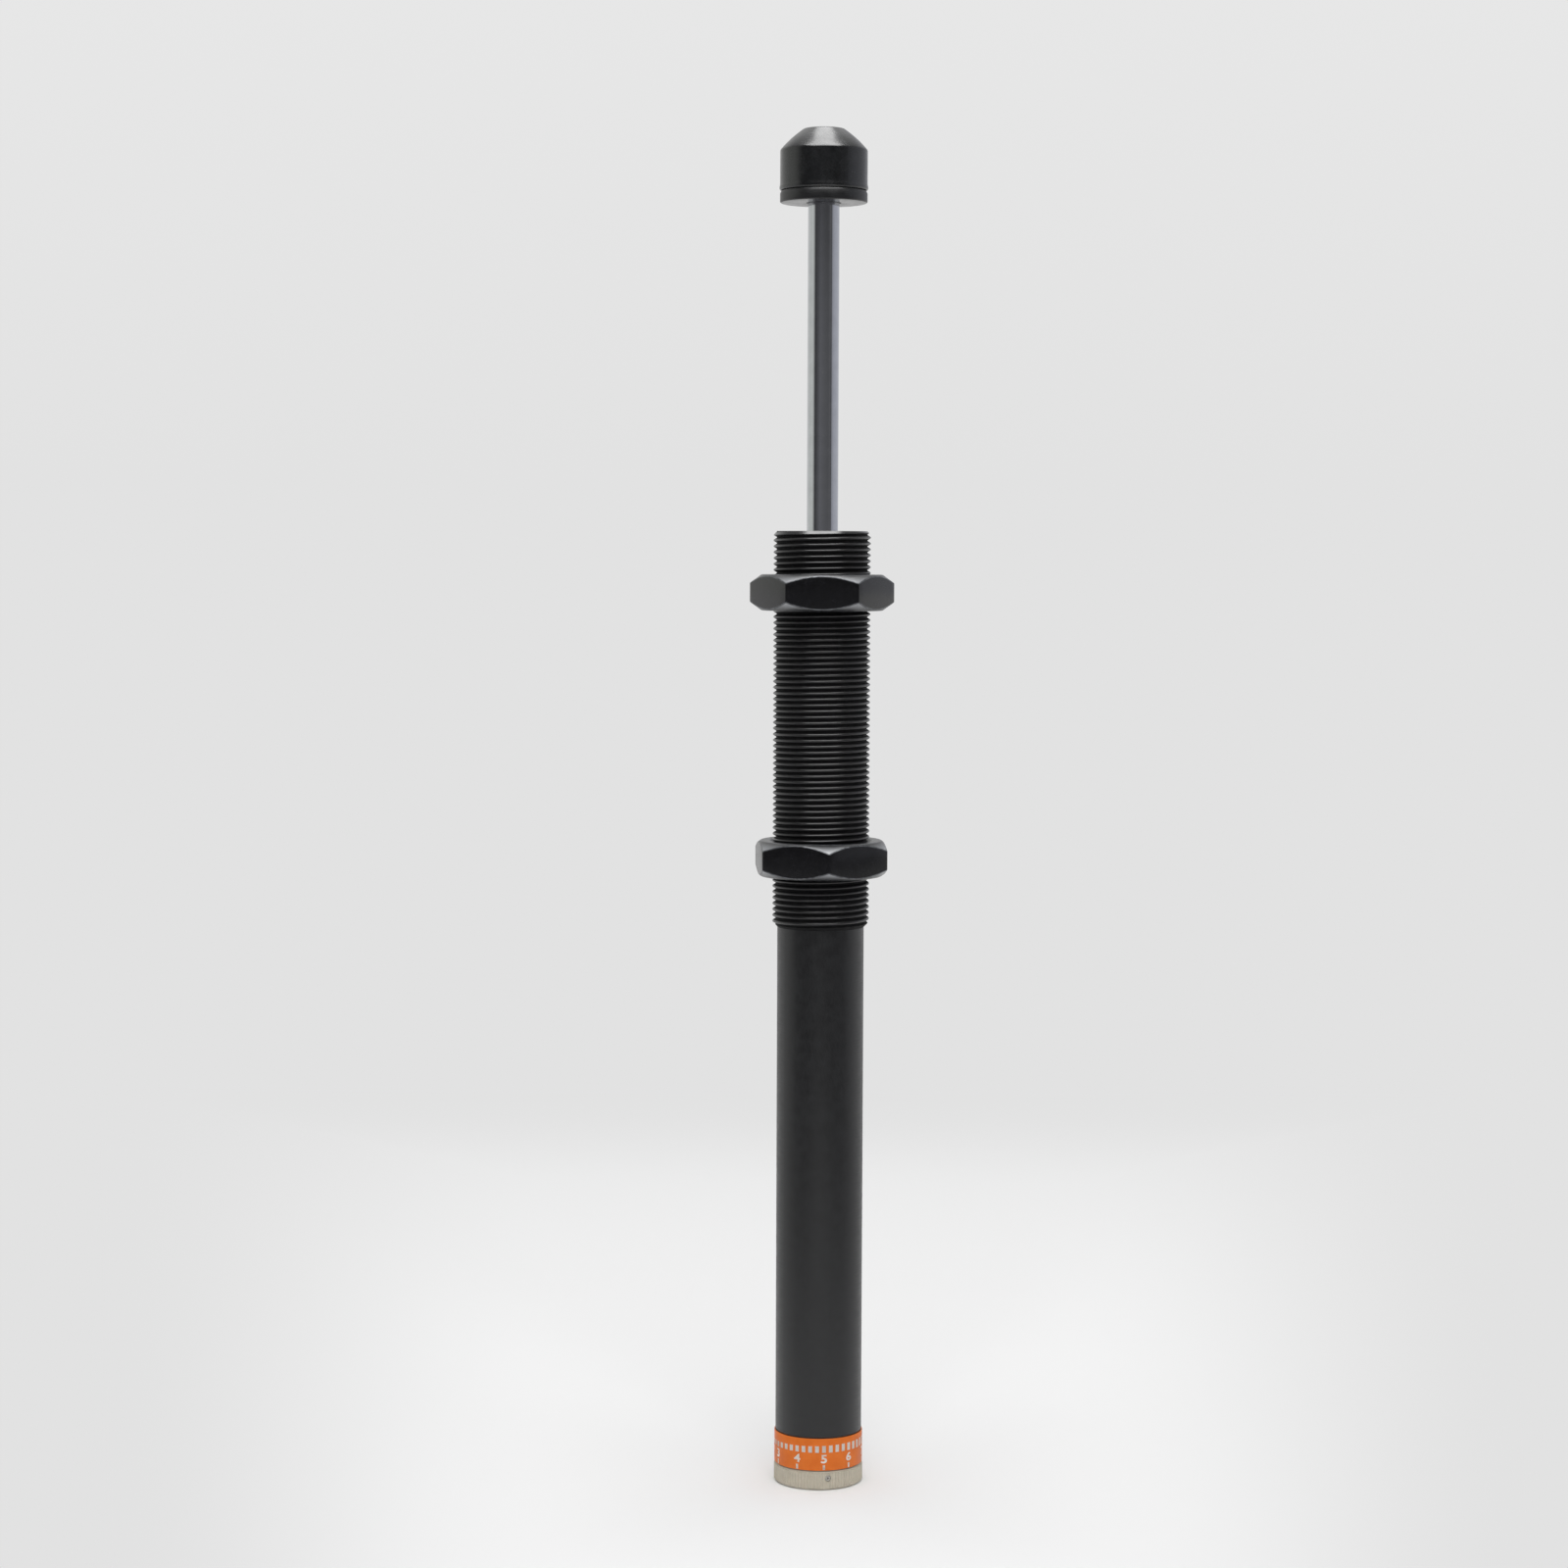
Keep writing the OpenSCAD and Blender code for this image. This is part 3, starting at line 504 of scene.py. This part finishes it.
# the dye sits in the oxide, so the colour is deep and the sheen satin
anodised = surface("anodised_orange", "d2681c", "db7226", rough=(0.40, 0.50), mottle=2.5,
                   grain=(1.0, 1.0, 6.0), depth=0.0008, metallic=0.15, specular=0.3)
finished("scale_band_anodised", band, [anodised], "orange_scale", "housing", "scale_band")

ink_lift = 0.004
ink_back = 0.02
settings = 10
step_angle = 36.0
five_azimuth = 7.0
tick_low, tick_w, tick_h = 0.25, 0.6, 1.2
type_size, type_weight = 3.0, 0.08
numeral_low, numeral_h, numeral_stretch = 1.95, 2.2, 1.2
bar_low, bar_w, least_bar_h, bar_growth, bar_steps = 4.7, 1.0, 0.7, 1.9, 36
strip = 0.4
marks = bmesh.new()


def along(azimuth):
    """The length along the band from the front."""
    return math.radians(azimuth) * band_r


def bar(azimuth, low, width, height):
    """A printed bar that stands at that height over the band's lower edge."""
    middle = (along(azimuth), band_low.z + low + height / 2, 0)
    bmesh.ops.create_grid(marks, x_segments=1, y_segments=1, size=0.5,
                          matrix=Matrix.Translation(middle) @ Matrix.Diagonal((width, height, 1, 1)))


# laid out flat, X along the band and Y up, cut in narrow strips, wrapped round just over the band's face,
# and closed behind by a second layer that has no gap to the first
for number in range(settings):
    azimuth = five_azimuth + (number - 5) * step_angle
    bar(azimuth, tick_low, tick_w, tick_h)
    written = bpy.data.curves.new("numeral", "FONT")
    written.body = str(number)
    written.size = type_size
    written.offset = type_weight
    written.align_x = "CENTER"
    holder = bpy.data.objects.new("numeral", written)
    flat_numeral = bpy.data.meshes.new_from_object(holder)
    numeral = bmesh.new()
    numeral.from_mesh(flat_numeral)
    bpy.data.objects.remove(holder)
    xs = [v.co.x for v in numeral.verts]
    ys = [v.co.y for v in numeral.verts]
    share = numeral_h / (max(ys) - min(ys))
    bmesh.ops.translate(numeral, verts=numeral.verts, vec=(-(min(xs) + max(xs)) / 2, -min(ys), 0))
    bmesh.ops.scale(numeral, verts=numeral.verts, vec=(share * numeral_stretch, share, 1))
    bmesh.ops.translate(numeral, verts=numeral.verts, vec=(along(azimuth), band_low.z + numeral_low, 0))
    numeral.to_mesh(flat_numeral)
    numeral.free()
    marks.from_mesh(flat_numeral)
    bpy.data.meshes.remove(flat_numeral)
for i in range(bar_steps + 1):
    done = i / bar_steps
    azimuth = five_azimuth + ((settings - 1) * done - 5) * step_angle
    bar(azimuth, bar_low, bar_w, least_bar_h + bar_growth * done)

bmesh.ops.remove_doubles(marks, verts=marks.verts, dist=0.001)
strips = math.ceil(max(abs(v.co.x) for v in marks.verts) / strip)
for i in range(-strips, strips):
    bmesh.ops.bisect_plane(marks, geom=whole(marks), dist=0.0001, plane_co=((i + 0.5) * strip, 0, 0),
                           plane_no=(1, 0, 0))
for face in marks.faces:
    if face.normal.z < 0:
        face.normal_flip()
for vert in marks.verts:
    vert.co = at(band_r + ink_lift, math.degrees(vert.co.x / band_r), vert.co.y)
bmesh.ops.solidify(marks, geom=marks.faces, thickness=-ink_back)
# the ink is a warm white, matt beside the sheen of the band
print_white = surface("screen_print_white", "f0ece6", "f7f4ef", rough=(0.5, 0.6), mottle=0.8,
                      grain=(3.0, 3.0, 3.0), depth=0.001)
finished("scale_print", marks, [print_white], "orange_scale", "housing")


# ADJUSTER KNOB
# A cup of aluminium, straight-knurled, bead-blasted and clear anodised, turns on the rear cap's neck. A
# sunk screw holds it on the spindle, and a small set screw in its side shows the setting.

_, knob_high = span("adjuster_knob")
knob_r = knob_high.y
grip_z = 4.8
knurl_depth = 0.2
teeth = 84
land_r = knob_r - knurl_depth - 0.06
land_h = 0.4
foot_edge = 0.3
cup_r = 8.3
cup_floor = 1.8
knob_hub_r = 4.5
seat_r, seat_z = 2.5, 1.21
screw_bore_r = 1.35
spindle_r, spindle_z = 2.0, 2.6
knob = bmesh.new()
turned(knob, [(screw_bore_r, seat_z), (seat_r, seat_z), (seat_r, 0.2), (seat_r, 0.0),
              (land_r - foot_edge, 0.0), (land_r, foot_edge), (land_r, land_h), (knob_r, land_h + 0.02),
              (knob_r, grip_z - land_h - 0.02), (land_r, grip_z - land_h), (land_r, grip_z - land_h / 2),
              (land_r - land_h / 2, grip_z), (cup_r, grip_z), (cup_r, cup_floor), (knob_hub_r, cup_floor),
              (knob_hub_r, knob_high.z), (spindle_r, knob_high.z), (spindle_r, spindle_z),
              (screw_bore_r, spindle_z), (screw_bore_r, seat_z)], teeth * 4)
for vert in knob.verts:
    if vert.co.xy.length > knob_r - 0.01:
        phase = math.atan2(vert.co.x, -vert.co.y) / math.tau * teeth
        vert.co.xy *= 1 - knurl_depth * 2 * abs(phase - round(phase)) / knob_r
# the blast leaves a fine even frost, and the anodising a warm grey
blasted = surface("aluminium_clear_anodised", "b5ae9e", "c0b9a9", rough=(0.45, 0.58), mottle=1.5,
                  grain=(5.0, 5.0, 5.0), depth=0.002, metallic=0.15)
grip = finished("knurled_knob", knob, [blasted], "knurled_aluminium", "knob", "adjuster_knob")

# the set screw's hole is drilled through the wall, square to the axis
screw_low, screw_high = span("knob_set_screw")
middle = (screw_low + screw_high) / 2
upright = Matrix.Rotation(math.radians(90), 3, "X")
to_pointer = Matrix.Rotation(math.atan2(middle.x, -middle.y), 3, "Z")
set_screw_r = 0.78
drill_r = set_screw_r + 0.04
drill_l = 4
wall_middle = cup_r + 1.7
drill = bmesh.new()
bmesh.ops.create_cone(drill, cap_ends=True, segments=32, radius1=drill_r, radius2=drill_r, depth=drill_l)
bmesh.ops.rotate(drill, verts=drill.verts, matrix=upright)
bmesh.ops.translate(drill, verts=drill.verts, vec=(0, -wall_middle, middle.z))
bmesh.ops.rotate(drill, verts=drill.verts, matrix=to_pointer)
bmesh.ops.scale(drill, vec=(MM, MM, MM), verts=drill.verts)
drill_bit = in_scene("drill", drill)
hole = grip.modifiers.new("set_screw_hole", "BOOLEAN")
hole.object = drill_bit
hole.operation = "DIFFERENCE"
hole.solver = "EXACT"
drilled = bpy.data.meshes.new_from_object(grip.evaluated_get(bpy.context.evaluated_depsgraph_get()))
grip.modifiers.clear()
grip.data = drilled
bpy.data.objects.remove(drill_bit)

# the screw ends flush with the knob's land, with a hexagon socket in its face
socket_r = 0.3
socket_depth = 0.6
set_screw_edge = 0.1
set_screw_face = land_r - 0.04
set_screw_point = 8.15
set_screw_steps = 24
hexagon_half = math.radians(30)
set_screw = bmesh.new()
turned(set_screw, [(0, set_screw_point), (set_screw_r, set_screw_point),
                   (set_screw_r, set_screw_face - set_screw_edge),
                   (set_screw_r - set_screw_edge, set_screw_face), (socket_r, set_screw_face),
                   (socket_r, set_screw_face - socket_depth), (0, set_screw_face - socket_depth)],
       set_screw_steps)
for vert in set_screw.verts:
    if abs(vert.co.xy.length - socket_r) < 0.01:
        turn = math.atan2(vert.co.y, vert.co.x) % (2 * hexagon_half) - hexagon_half
        vert.co.xy *= math.cos(hexagon_half) / math.cos(turn)
bmesh.ops.rotate(set_screw, verts=set_screw.verts, matrix=upright)
bmesh.ops.translate(set_screw, verts=set_screw.verts, vec=(0, 0, middle.z))
bmesh.ops.rotate(set_screw, verts=set_screw.verts, matrix=to_pointer)
# plain steel, rubbed and a little oily, darker than the knob round it
screw_steel = surface("set_screw_steel", "a3a19b", "b4b1aa", rough=(0.30, 0.42), mottle=0.8,
                      grain=(4.0, 4.0, 4.0), depth=0.002, metallic=0.4)
finished("set_screw_socketed", set_screw, [screw_steel], "black_fastener", "knob", "knob_set_screw")


# RETURN SPRING
# A coil of oiled spring wire in the bore, with a closed turn at each end. It stands on the tube's plug and
# pushes the piston, and so the rod, out; it shortens as the rod goes in.

spring_low, spring_high = span("return_spring")
wire_r = 0.6
wire_sides = 8
coil_turns = 40
coil_steps = 24
closed_rise = 2 * wire_r
open_rise = (spring_high.z - spring_low.z - 3 * closed_rise) / (coil_turns - 2)
coil = bmesh.new()
wire = [coil.verts.new(at(r, 90, z))
        for r, z in arc(spring_high.x - wire_r, spring_low.z + wire_r, wire_r, 0, 360 - 360 / wire_sides,
                        wire_sides - 1)]
end = coil.faces.new(wire)
led = [*wire, *end.edges, end]
for turns, rise in ((1, closed_rise), (coil_turns - 2, open_rise), (1, closed_rise)):
    led = bmesh.ops.spin(coil, geom=led, cent=(0, 0, 0), axis=(0, 0, 1), dvec=(0, 0, rise / coil_steps),
                         angle=math.tau * turns, steps=coil_steps * turns)["geom_last"]
# drawn wire under a film of oil is a dark, soft mirror
spring_steel = surface("spring_steel_oiled", "5a5d60", "6c6f73", rough=(0.30, 0.42), mottle=2.0,
                       grain=(3.0, 3.0, 3.0), depth=0.002, metallic=1.0)
spring = finished("return_spring_coiled", coil, [spring_steel], "spring_steel", "housing",
                  "return_spring", smooth=60)
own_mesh(spring)


# PARTS THAT KEEP THEIR CAD SHAPE
# The rest is inside, or shows only a face: seals, bushes, sleeves, pins, the valve parts, the retaining
# ring and the knob's screw. Each gets the finish of its stock.


def node_slot(node):
    """The record's material slot of a CAD node."""
    return next(part["material_slot"] for part in frame["record"]["subparts"] if part["node"] == node)


# screws are handled, so their oxide is rubbed to a brownish grey
screw_oxide = surface("black_oxide_on_screws", "66635c", "85817a", rough=(0.32, 0.45), mottle=0.8,
                      grain=(4.0, 4.0, 4.0), depth=0.002, metallic=0.3)
# bright steel with the rings of the lathe across it
turned_steel = surface("steel_turned", "74777b", "85888c", rough=(0.28, 0.40), mottle=3.0,
                       grain=(0.4, 0.4, 9.0), depth=0.001, metallic=1.0)
# pressed powder, soaked in oil: a dull yellow with open pores
bronze = surface("sintered_bronze", "9a7a40", "b08d4e", rough=(0.35, 0.5), mottle=0.8,
                 grain=(6.0, 6.0, 6.0), depth=0.004, metallic=1.0)
# seal makers dye it blue, and it has a waxy sheen
seal_blue = surface("polyurethane_seal_cast", "2f4f6d", "3a5d7e", rough=(0.38, 0.5), mottle=2.0,
                    grain=(2.0, 2.0, 2.0), depth=0.004)
# cut foam with cells of about a third of a millimetre, quite matt
foam = surface("closed_cell_foam", "2e2e2e", "434343", rough=(0.85, 0.95), mottle=0.7,
               grain=(3.0, 3.0, 3.0), depth=0.15)
stock = {"black_oxide_steel": black_oxide, "black_oxide_nut": nut_oxide, "hard_chrome": chrome,
         "urethane": urethane, "orange_scale": anodised, "knurled_aluminium": blasted,
         "nitrile_rubber": nitrile, "black_fastener": screw_oxide, "steel": turned_steel,
         "spring_steel": spring_steel, "bronze": bronze, "polyurethane_seal": seal_blue, "foam": foam}
for name, node in frame["nodes"].items():
    node.data.materials.clear()
    node.data.materials.append(stock[node_slot(name)])


# SET
# The object stands on a wide sheet of pale paper. Near the object the paper is paler, a painted pool of
# light that the lamps light and the object shades, and further off it has the even tone of the wall behind
# it, so that no horizon shows.

floor_r = 9.0
floor_gap = 0.0001
sheet = bmesh.new()
bmesh.ops.create_circle(sheet, cap_ends=True, segments=96, radius=floor_r)
bmesh.ops.translate(sheet, verts=sheet.verts, vec=(0, 0, -floor_gap))
floor = in_scene("floor", sheet)

eased = {"interpolation_type": "SMOOTHSTEP"}
wall_tone = linear("e2e2e2")
dim_room = (0.16, 0.16, 0.17, 1)
pool_w, pool_l = 0.20, 0.54
wedge_tip = 0.9
paper = bpy.data.materials.new("backdrop_paper")
paper.use_nodes = True
tree = paper.node_tree
tree.nodes.clear()
place = add_node(tree, "ShaderNodeTexCoord").outputs["Object"]
path = add_node(tree, "ShaderNodeLightPath").outputs
floor_x, depth, _ = add_node(tree, "ShaderNodeSeparateXYZ", links={0: place}).outputs

# the paper within an oval round the object is paler, a painted pool of light; what the camera sees of it is
# a wedge with soft sides instead
stretched = add_node(tree, "ShaderNodeMapping", {"Scale": (1 / pool_w, 1 / pool_l, 0)}, {"Vector": place})
radius = add_node(tree, "ShaderNodeVectorMath", {"operation": "LENGTH"}, {0: stretched.outputs[0]})
oval = add_node(tree, "ShaderNodeMapRange", {**eased, "From Min": 0.76, "From Max": 1.0},
                {"Value": radius.outputs["Value"]})
sideways = add_node(tree, "ShaderNodeMath", {"operation": "ABSOLUTE"}, {0: floor_x})
ahead = add_node(tree, "ShaderNodeMath", {"operation": "ADD", 1: wedge_tip}, {0: depth})
kept_ahead = add_node(tree, "ShaderNodeMath", {"operation": "MAXIMUM", 1: 0.05}, {0: ahead.outputs[0]})
spread = add_node(tree, "ShaderNodeMath", {"operation": "DIVIDE"},
                  {0: sideways.outputs[0], 1: kept_ahead.outputs[0]})
beside = add_node(tree, "ShaderNodeMapRange", {**eased, "From Min": 0.07, "From Max": 0.205},
                  {"Value": spread.outputs[0]})
beyond = add_node(tree, "ShaderNodeMapRange", {**eased, "From Min": 0.40, "From Max": 0.63},
                  {"Value": depth})
wedge = add_node(tree, "ShaderNodeMath", {"operation": "MAXIMUM"},
                 {0: beside.outputs[0], 1: beyond.outputs[0]})
past_front = add_node(tree, "ShaderNodeMapRange", {**eased, "From Min": -0.35, "From Max": -0.12},
                      {"Value": depth})
shows_wedge = add_node(tree, "ShaderNodeMath", {"operation": "MULTIPLY"},
                       {0: past_front.outputs[0], 1: path["Is Camera Ray"]})
far = add_node(tree, "ShaderNodeMix", {"data_type": "FLOAT"},
               {0: shows_wedge.outputs[0], 2: oval.outputs[0], 3: wedge.outputs[0]})

# the far paper shows one even tone, and glossy pieces mirror it dim where it lies in front of the object
behind = add_node(tree, "ShaderNodeMapRange", {**eased, "From Min": -0.5, "From Max": 0.3},
                  {"Value": depth})
pale = add_node(tree, "ShaderNodeMath", {"operation": "MAXIMUM"},
                {0: behind.outputs[0], 1: path["Is Camera Ray"]})
far_tone = add_node(tree, "ShaderNodeMix", {"data_type": "RGBA", 6: dim_room, 7: wall_tone},
                    {0: pale.outputs[0]})
seen_paper = add_node(tree, "ShaderNodeEmission", {"Strength": 1.0}, {"Color": far_tone.outputs[2]})
lit_paper = add_node(tree, "ShaderNodeBsdfDiffuse", {"Color": wall_tone})
seen = add_node(tree, "ShaderNodeMath", {"operation": "MAXIMUM"},
                {0: path["Is Camera Ray"], 1: path["Is Glossy Ray"]})
far_paper = add_node(tree, "ShaderNodeMixShader",
                     links={0: seen.outputs[0], 1: lit_paper.outputs[0], 2: seen_paper.outputs[0]})
# the paler paper of the painted pool of light, which still takes the lamps' light and the object's shadow
near_paper = add_node(tree, "ShaderNodeBsdfDiffuse", {"Color": linear("f0f0f0")})
whole_paper = add_node(tree, "ShaderNodeMixShader",
                       links={0: far.outputs[0], 1: near_paper.outputs[0], 2: far_paper.outputs[0]})
add_node(tree, "ShaderNodeOutputMaterial", links={0: whole_paper.outputs[0]})
floor.data.materials.append(paper)


# ROOM
# A studio that glossy pieces mirror: dim in front, with pale walls at both sides and behind, and a lit
# ceiling. Matt surfaces get an even grey light from it, and the camera sees only the pale wall.

# tones round the room, by azimuth in degrees from the front towards the right
tones = [(-90, (0.80, 0.82, 0.78)), (-76, (0.60, 0.61, 0.58)), (-62, (0.05, 0.05, 0.052)),
         (-40, (0.11, 0.11, 0.115)), (-22, (0.17, 0.17, 0.18)), (10, (0.14, 0.14, 0.145)),
         (42, (0.12, 0.12, 0.125)), (52, (0.15, 0.15, 0.155)), (62, (0.09, 0.09, 0.095)),
         (69, (0.38, 0.385, 0.42)), (88, (0.50, 0.51, 0.56)), (150, (0.62, 0.63, 0.67)),
         (180, (0.76, 0.76, 0.76)), (210, (0.80, 0.80, 0.79)), (246, (0.70, 0.715, 0.68))]
even_light = (0.47, 0.47, 0.47, 1)
room = bpy.data.worlds.new("studio")
bpy.context.scene.world = room
room.use_nodes = True
tree = room.node_tree
tree.nodes.clear()
direction = add_node(tree, "ShaderNodeTexCoord").outputs["Generated"]
rightward, backward, height = add_node(tree, "ShaderNodeSeparateXYZ", links={0: direction}).outputs
round_room = add_node(tree, "ShaderNodeTexGradient", {"gradient_type": "RADIAL"}, {"Vector": direction})
sides = add_node(tree, "ShaderNodeValToRGB", links={0: round_room.outputs["Fac"]})
ramp = sides.color_ramp
for azimuth, tone in tones[1:-1]:
    ramp.elements.new(azimuth / 360 + 0.25).color = (*tone, 1)
for element, (azimuth, tone) in ((ramp.elements[0], tones[0]), (ramp.elements[-1], tones[-1])):
    element.position = azimuth / 360 + 0.25
    element.color = (*tone, 1)

# the ceiling is brightest over the back and the middle
over_back = add_node(tree, "ShaderNodeMapRange",
                     {**eased, "From Min": -0.2, "From Max": 0.05, "To Min": 0.15, "To Max": 1.25},
                     {"Value": backward})
off_middle = add_node(tree, "ShaderNodeMath", {"operation": "ABSOLUTE"}, {0: rightward})
over_sides = add_node(tree, "ShaderNodeMapRange",
                      {**eased, "From Min": 0.25, "From Max": 0.6, "To Min": 1.0, "To Max": 0.3},
                      {"Value": off_middle.outputs[0]})
overhead = add_node(tree, "ShaderNodeMath", {"operation": "MULTIPLY"},
                    {0: over_back.outputs[0], 1: over_sides.outputs[0]})
ceiling = add_node(tree, "ShaderNodeCombineColor", links={i: overhead.outputs[0] for i in range(3)})
above = add_node(tree, "ShaderNodeMapRange", {**eased, "From Min": 0.45, "From Max": 0.7},
                 {"Value": height})

# the front of the room is darker a little above the horizon
facing = add_node(tree, "ShaderNodeMapRange", {"From Min": -0.6, "From Max": -0.85}, {"Value": backward})
raised = add_node(tree, "ShaderNodeMapRange",
                  {**eased, "From Min": 0.08, "From Max": 0.105, "To Max": 0.65}, {"Value": height})
shade = add_node(tree, "ShaderNodeMath", {"operation": "MULTIPLY"},
                 {0: facing.outputs[0], 1: raised.outputs[0]})
walls = add_node(tree, "ShaderNodeMix", {"data_type": "RGBA", 7: (0, 0, 0, 1)},
                 {0: shade.outputs[0], 6: sides.outputs[0]})
mirrored = add_node(tree, "ShaderNodeMix", {"data_type": "RGBA"},
                    {0: above.outputs[0], 6: walls.outputs[2], 7: ceiling.outputs[0]})
path = add_node(tree, "ShaderNodeLightPath").outputs
soft = add_node(tree, "ShaderNodeMix", {"data_type": "RGBA", 6: even_light},
                {0: path["Is Glossy Ray"], 7: mirrored.outputs[2]})
upward = add_node(tree, "ShaderNodeMapRange", {"From Min": 0.02, "From Max": 0.16}, {"Value": height})
wall = add_node(tree, "ShaderNodeMix", {"data_type": "RGBA", 6: wall_tone, 7: linear("e7e7e7")},
                {0: upward.outputs[0]})
shown = add_node(tree, "ShaderNodeMix", {"data_type": "RGBA"},
                 {0: path["Is Camera Ray"], 6: soft.outputs[2], 7: wall.outputs[2]})
backdrop = add_node(tree, "ShaderNodeBackground", {"Strength": 1.0}, {"Color": shown.outputs[2]})
add_node(tree, "ShaderNodeOutputWorld", links={0: backdrop.outputs[0]})


# LAMPS AND CAMERA
# A large softbox overhead and a weak one behind the camera light the matt surfaces. Three panels overhead
# light nothing and are only mirrored: by the cap's nose, the nuts' chamfers and the housing's mouth.


def softbox(name, place, aim, width, length, watts, mirrored=False):
    """A rectangular lamp that the camera doesn't see. It lights matt surfaces, or else is only mirrored."""
    lamp = bpy.data.lights.new(name, "AREA")
    lamp.shape = "RECTANGLE"
    lamp.size, lamp.size_y, lamp.energy = width, length, watts
    holder = bpy.data.objects.new(name, lamp)
    holder.location = place
    holder.rotation_euler = (Vector(aim) - Vector(place)).to_track_quat("-Z", "Y").to_euler()
    holder.visible_camera = False
    holder.visible_diffuse = not mirrored
    holder.visible_glossy = mirrored
    bpy.context.scene.collection.objects.link(holder)


softbox("overhead_softbox", (0.0, 0.05, 1.45), (0, 0.05, 0), 0.9, 0.9, 10.2)
softbox("front_fill", (0.1, -1.75, 1.1), (0, 0, 0.15), 1.4, 1.4, 15.0)
softbox("mirrored_ceiling_panel", (0.02, 0.34, 1.4), (0.02, 0.34, 0), 0.5, 0.5, 4.5, mirrored=True)
softbox("mirrored_zenith_strip", (0.0, -0.18, 1.4), (0.0, -0.18, 0), 1.05, 0.5, 13.0, mirrored=True)
softbox("mirrored_front_strip", (0.1, -0.75, 1.4), (0.05, 0, 0.2), 1.6, 0.45, 15.0, mirrored=True)

camera_place = (-0.00953, -0.865, 0.2399)
camera_tilt = math.radians(90 - 3.9)
camera_roll = math.radians(0.22)
lens = bpy.data.cameras.new("camera")
lens.lens = 77.625
lens.sensor_width = 36.0
lens.clip_start = 0.05
lens.clip_end = 50.0
camera = bpy.data.objects.new("camera", lens)
camera.matrix_world = (Matrix.Translation(camera_place) @ Matrix.Rotation(camera_tilt, 4, "X")
                       @ Matrix.Rotation(camera_roll, 4, "Z"))
bpy.context.scene.collection.objects.link(camera)
bpy.context.scene.camera = camera
bpy.context.scene.view_settings.view_transform = "Standard"
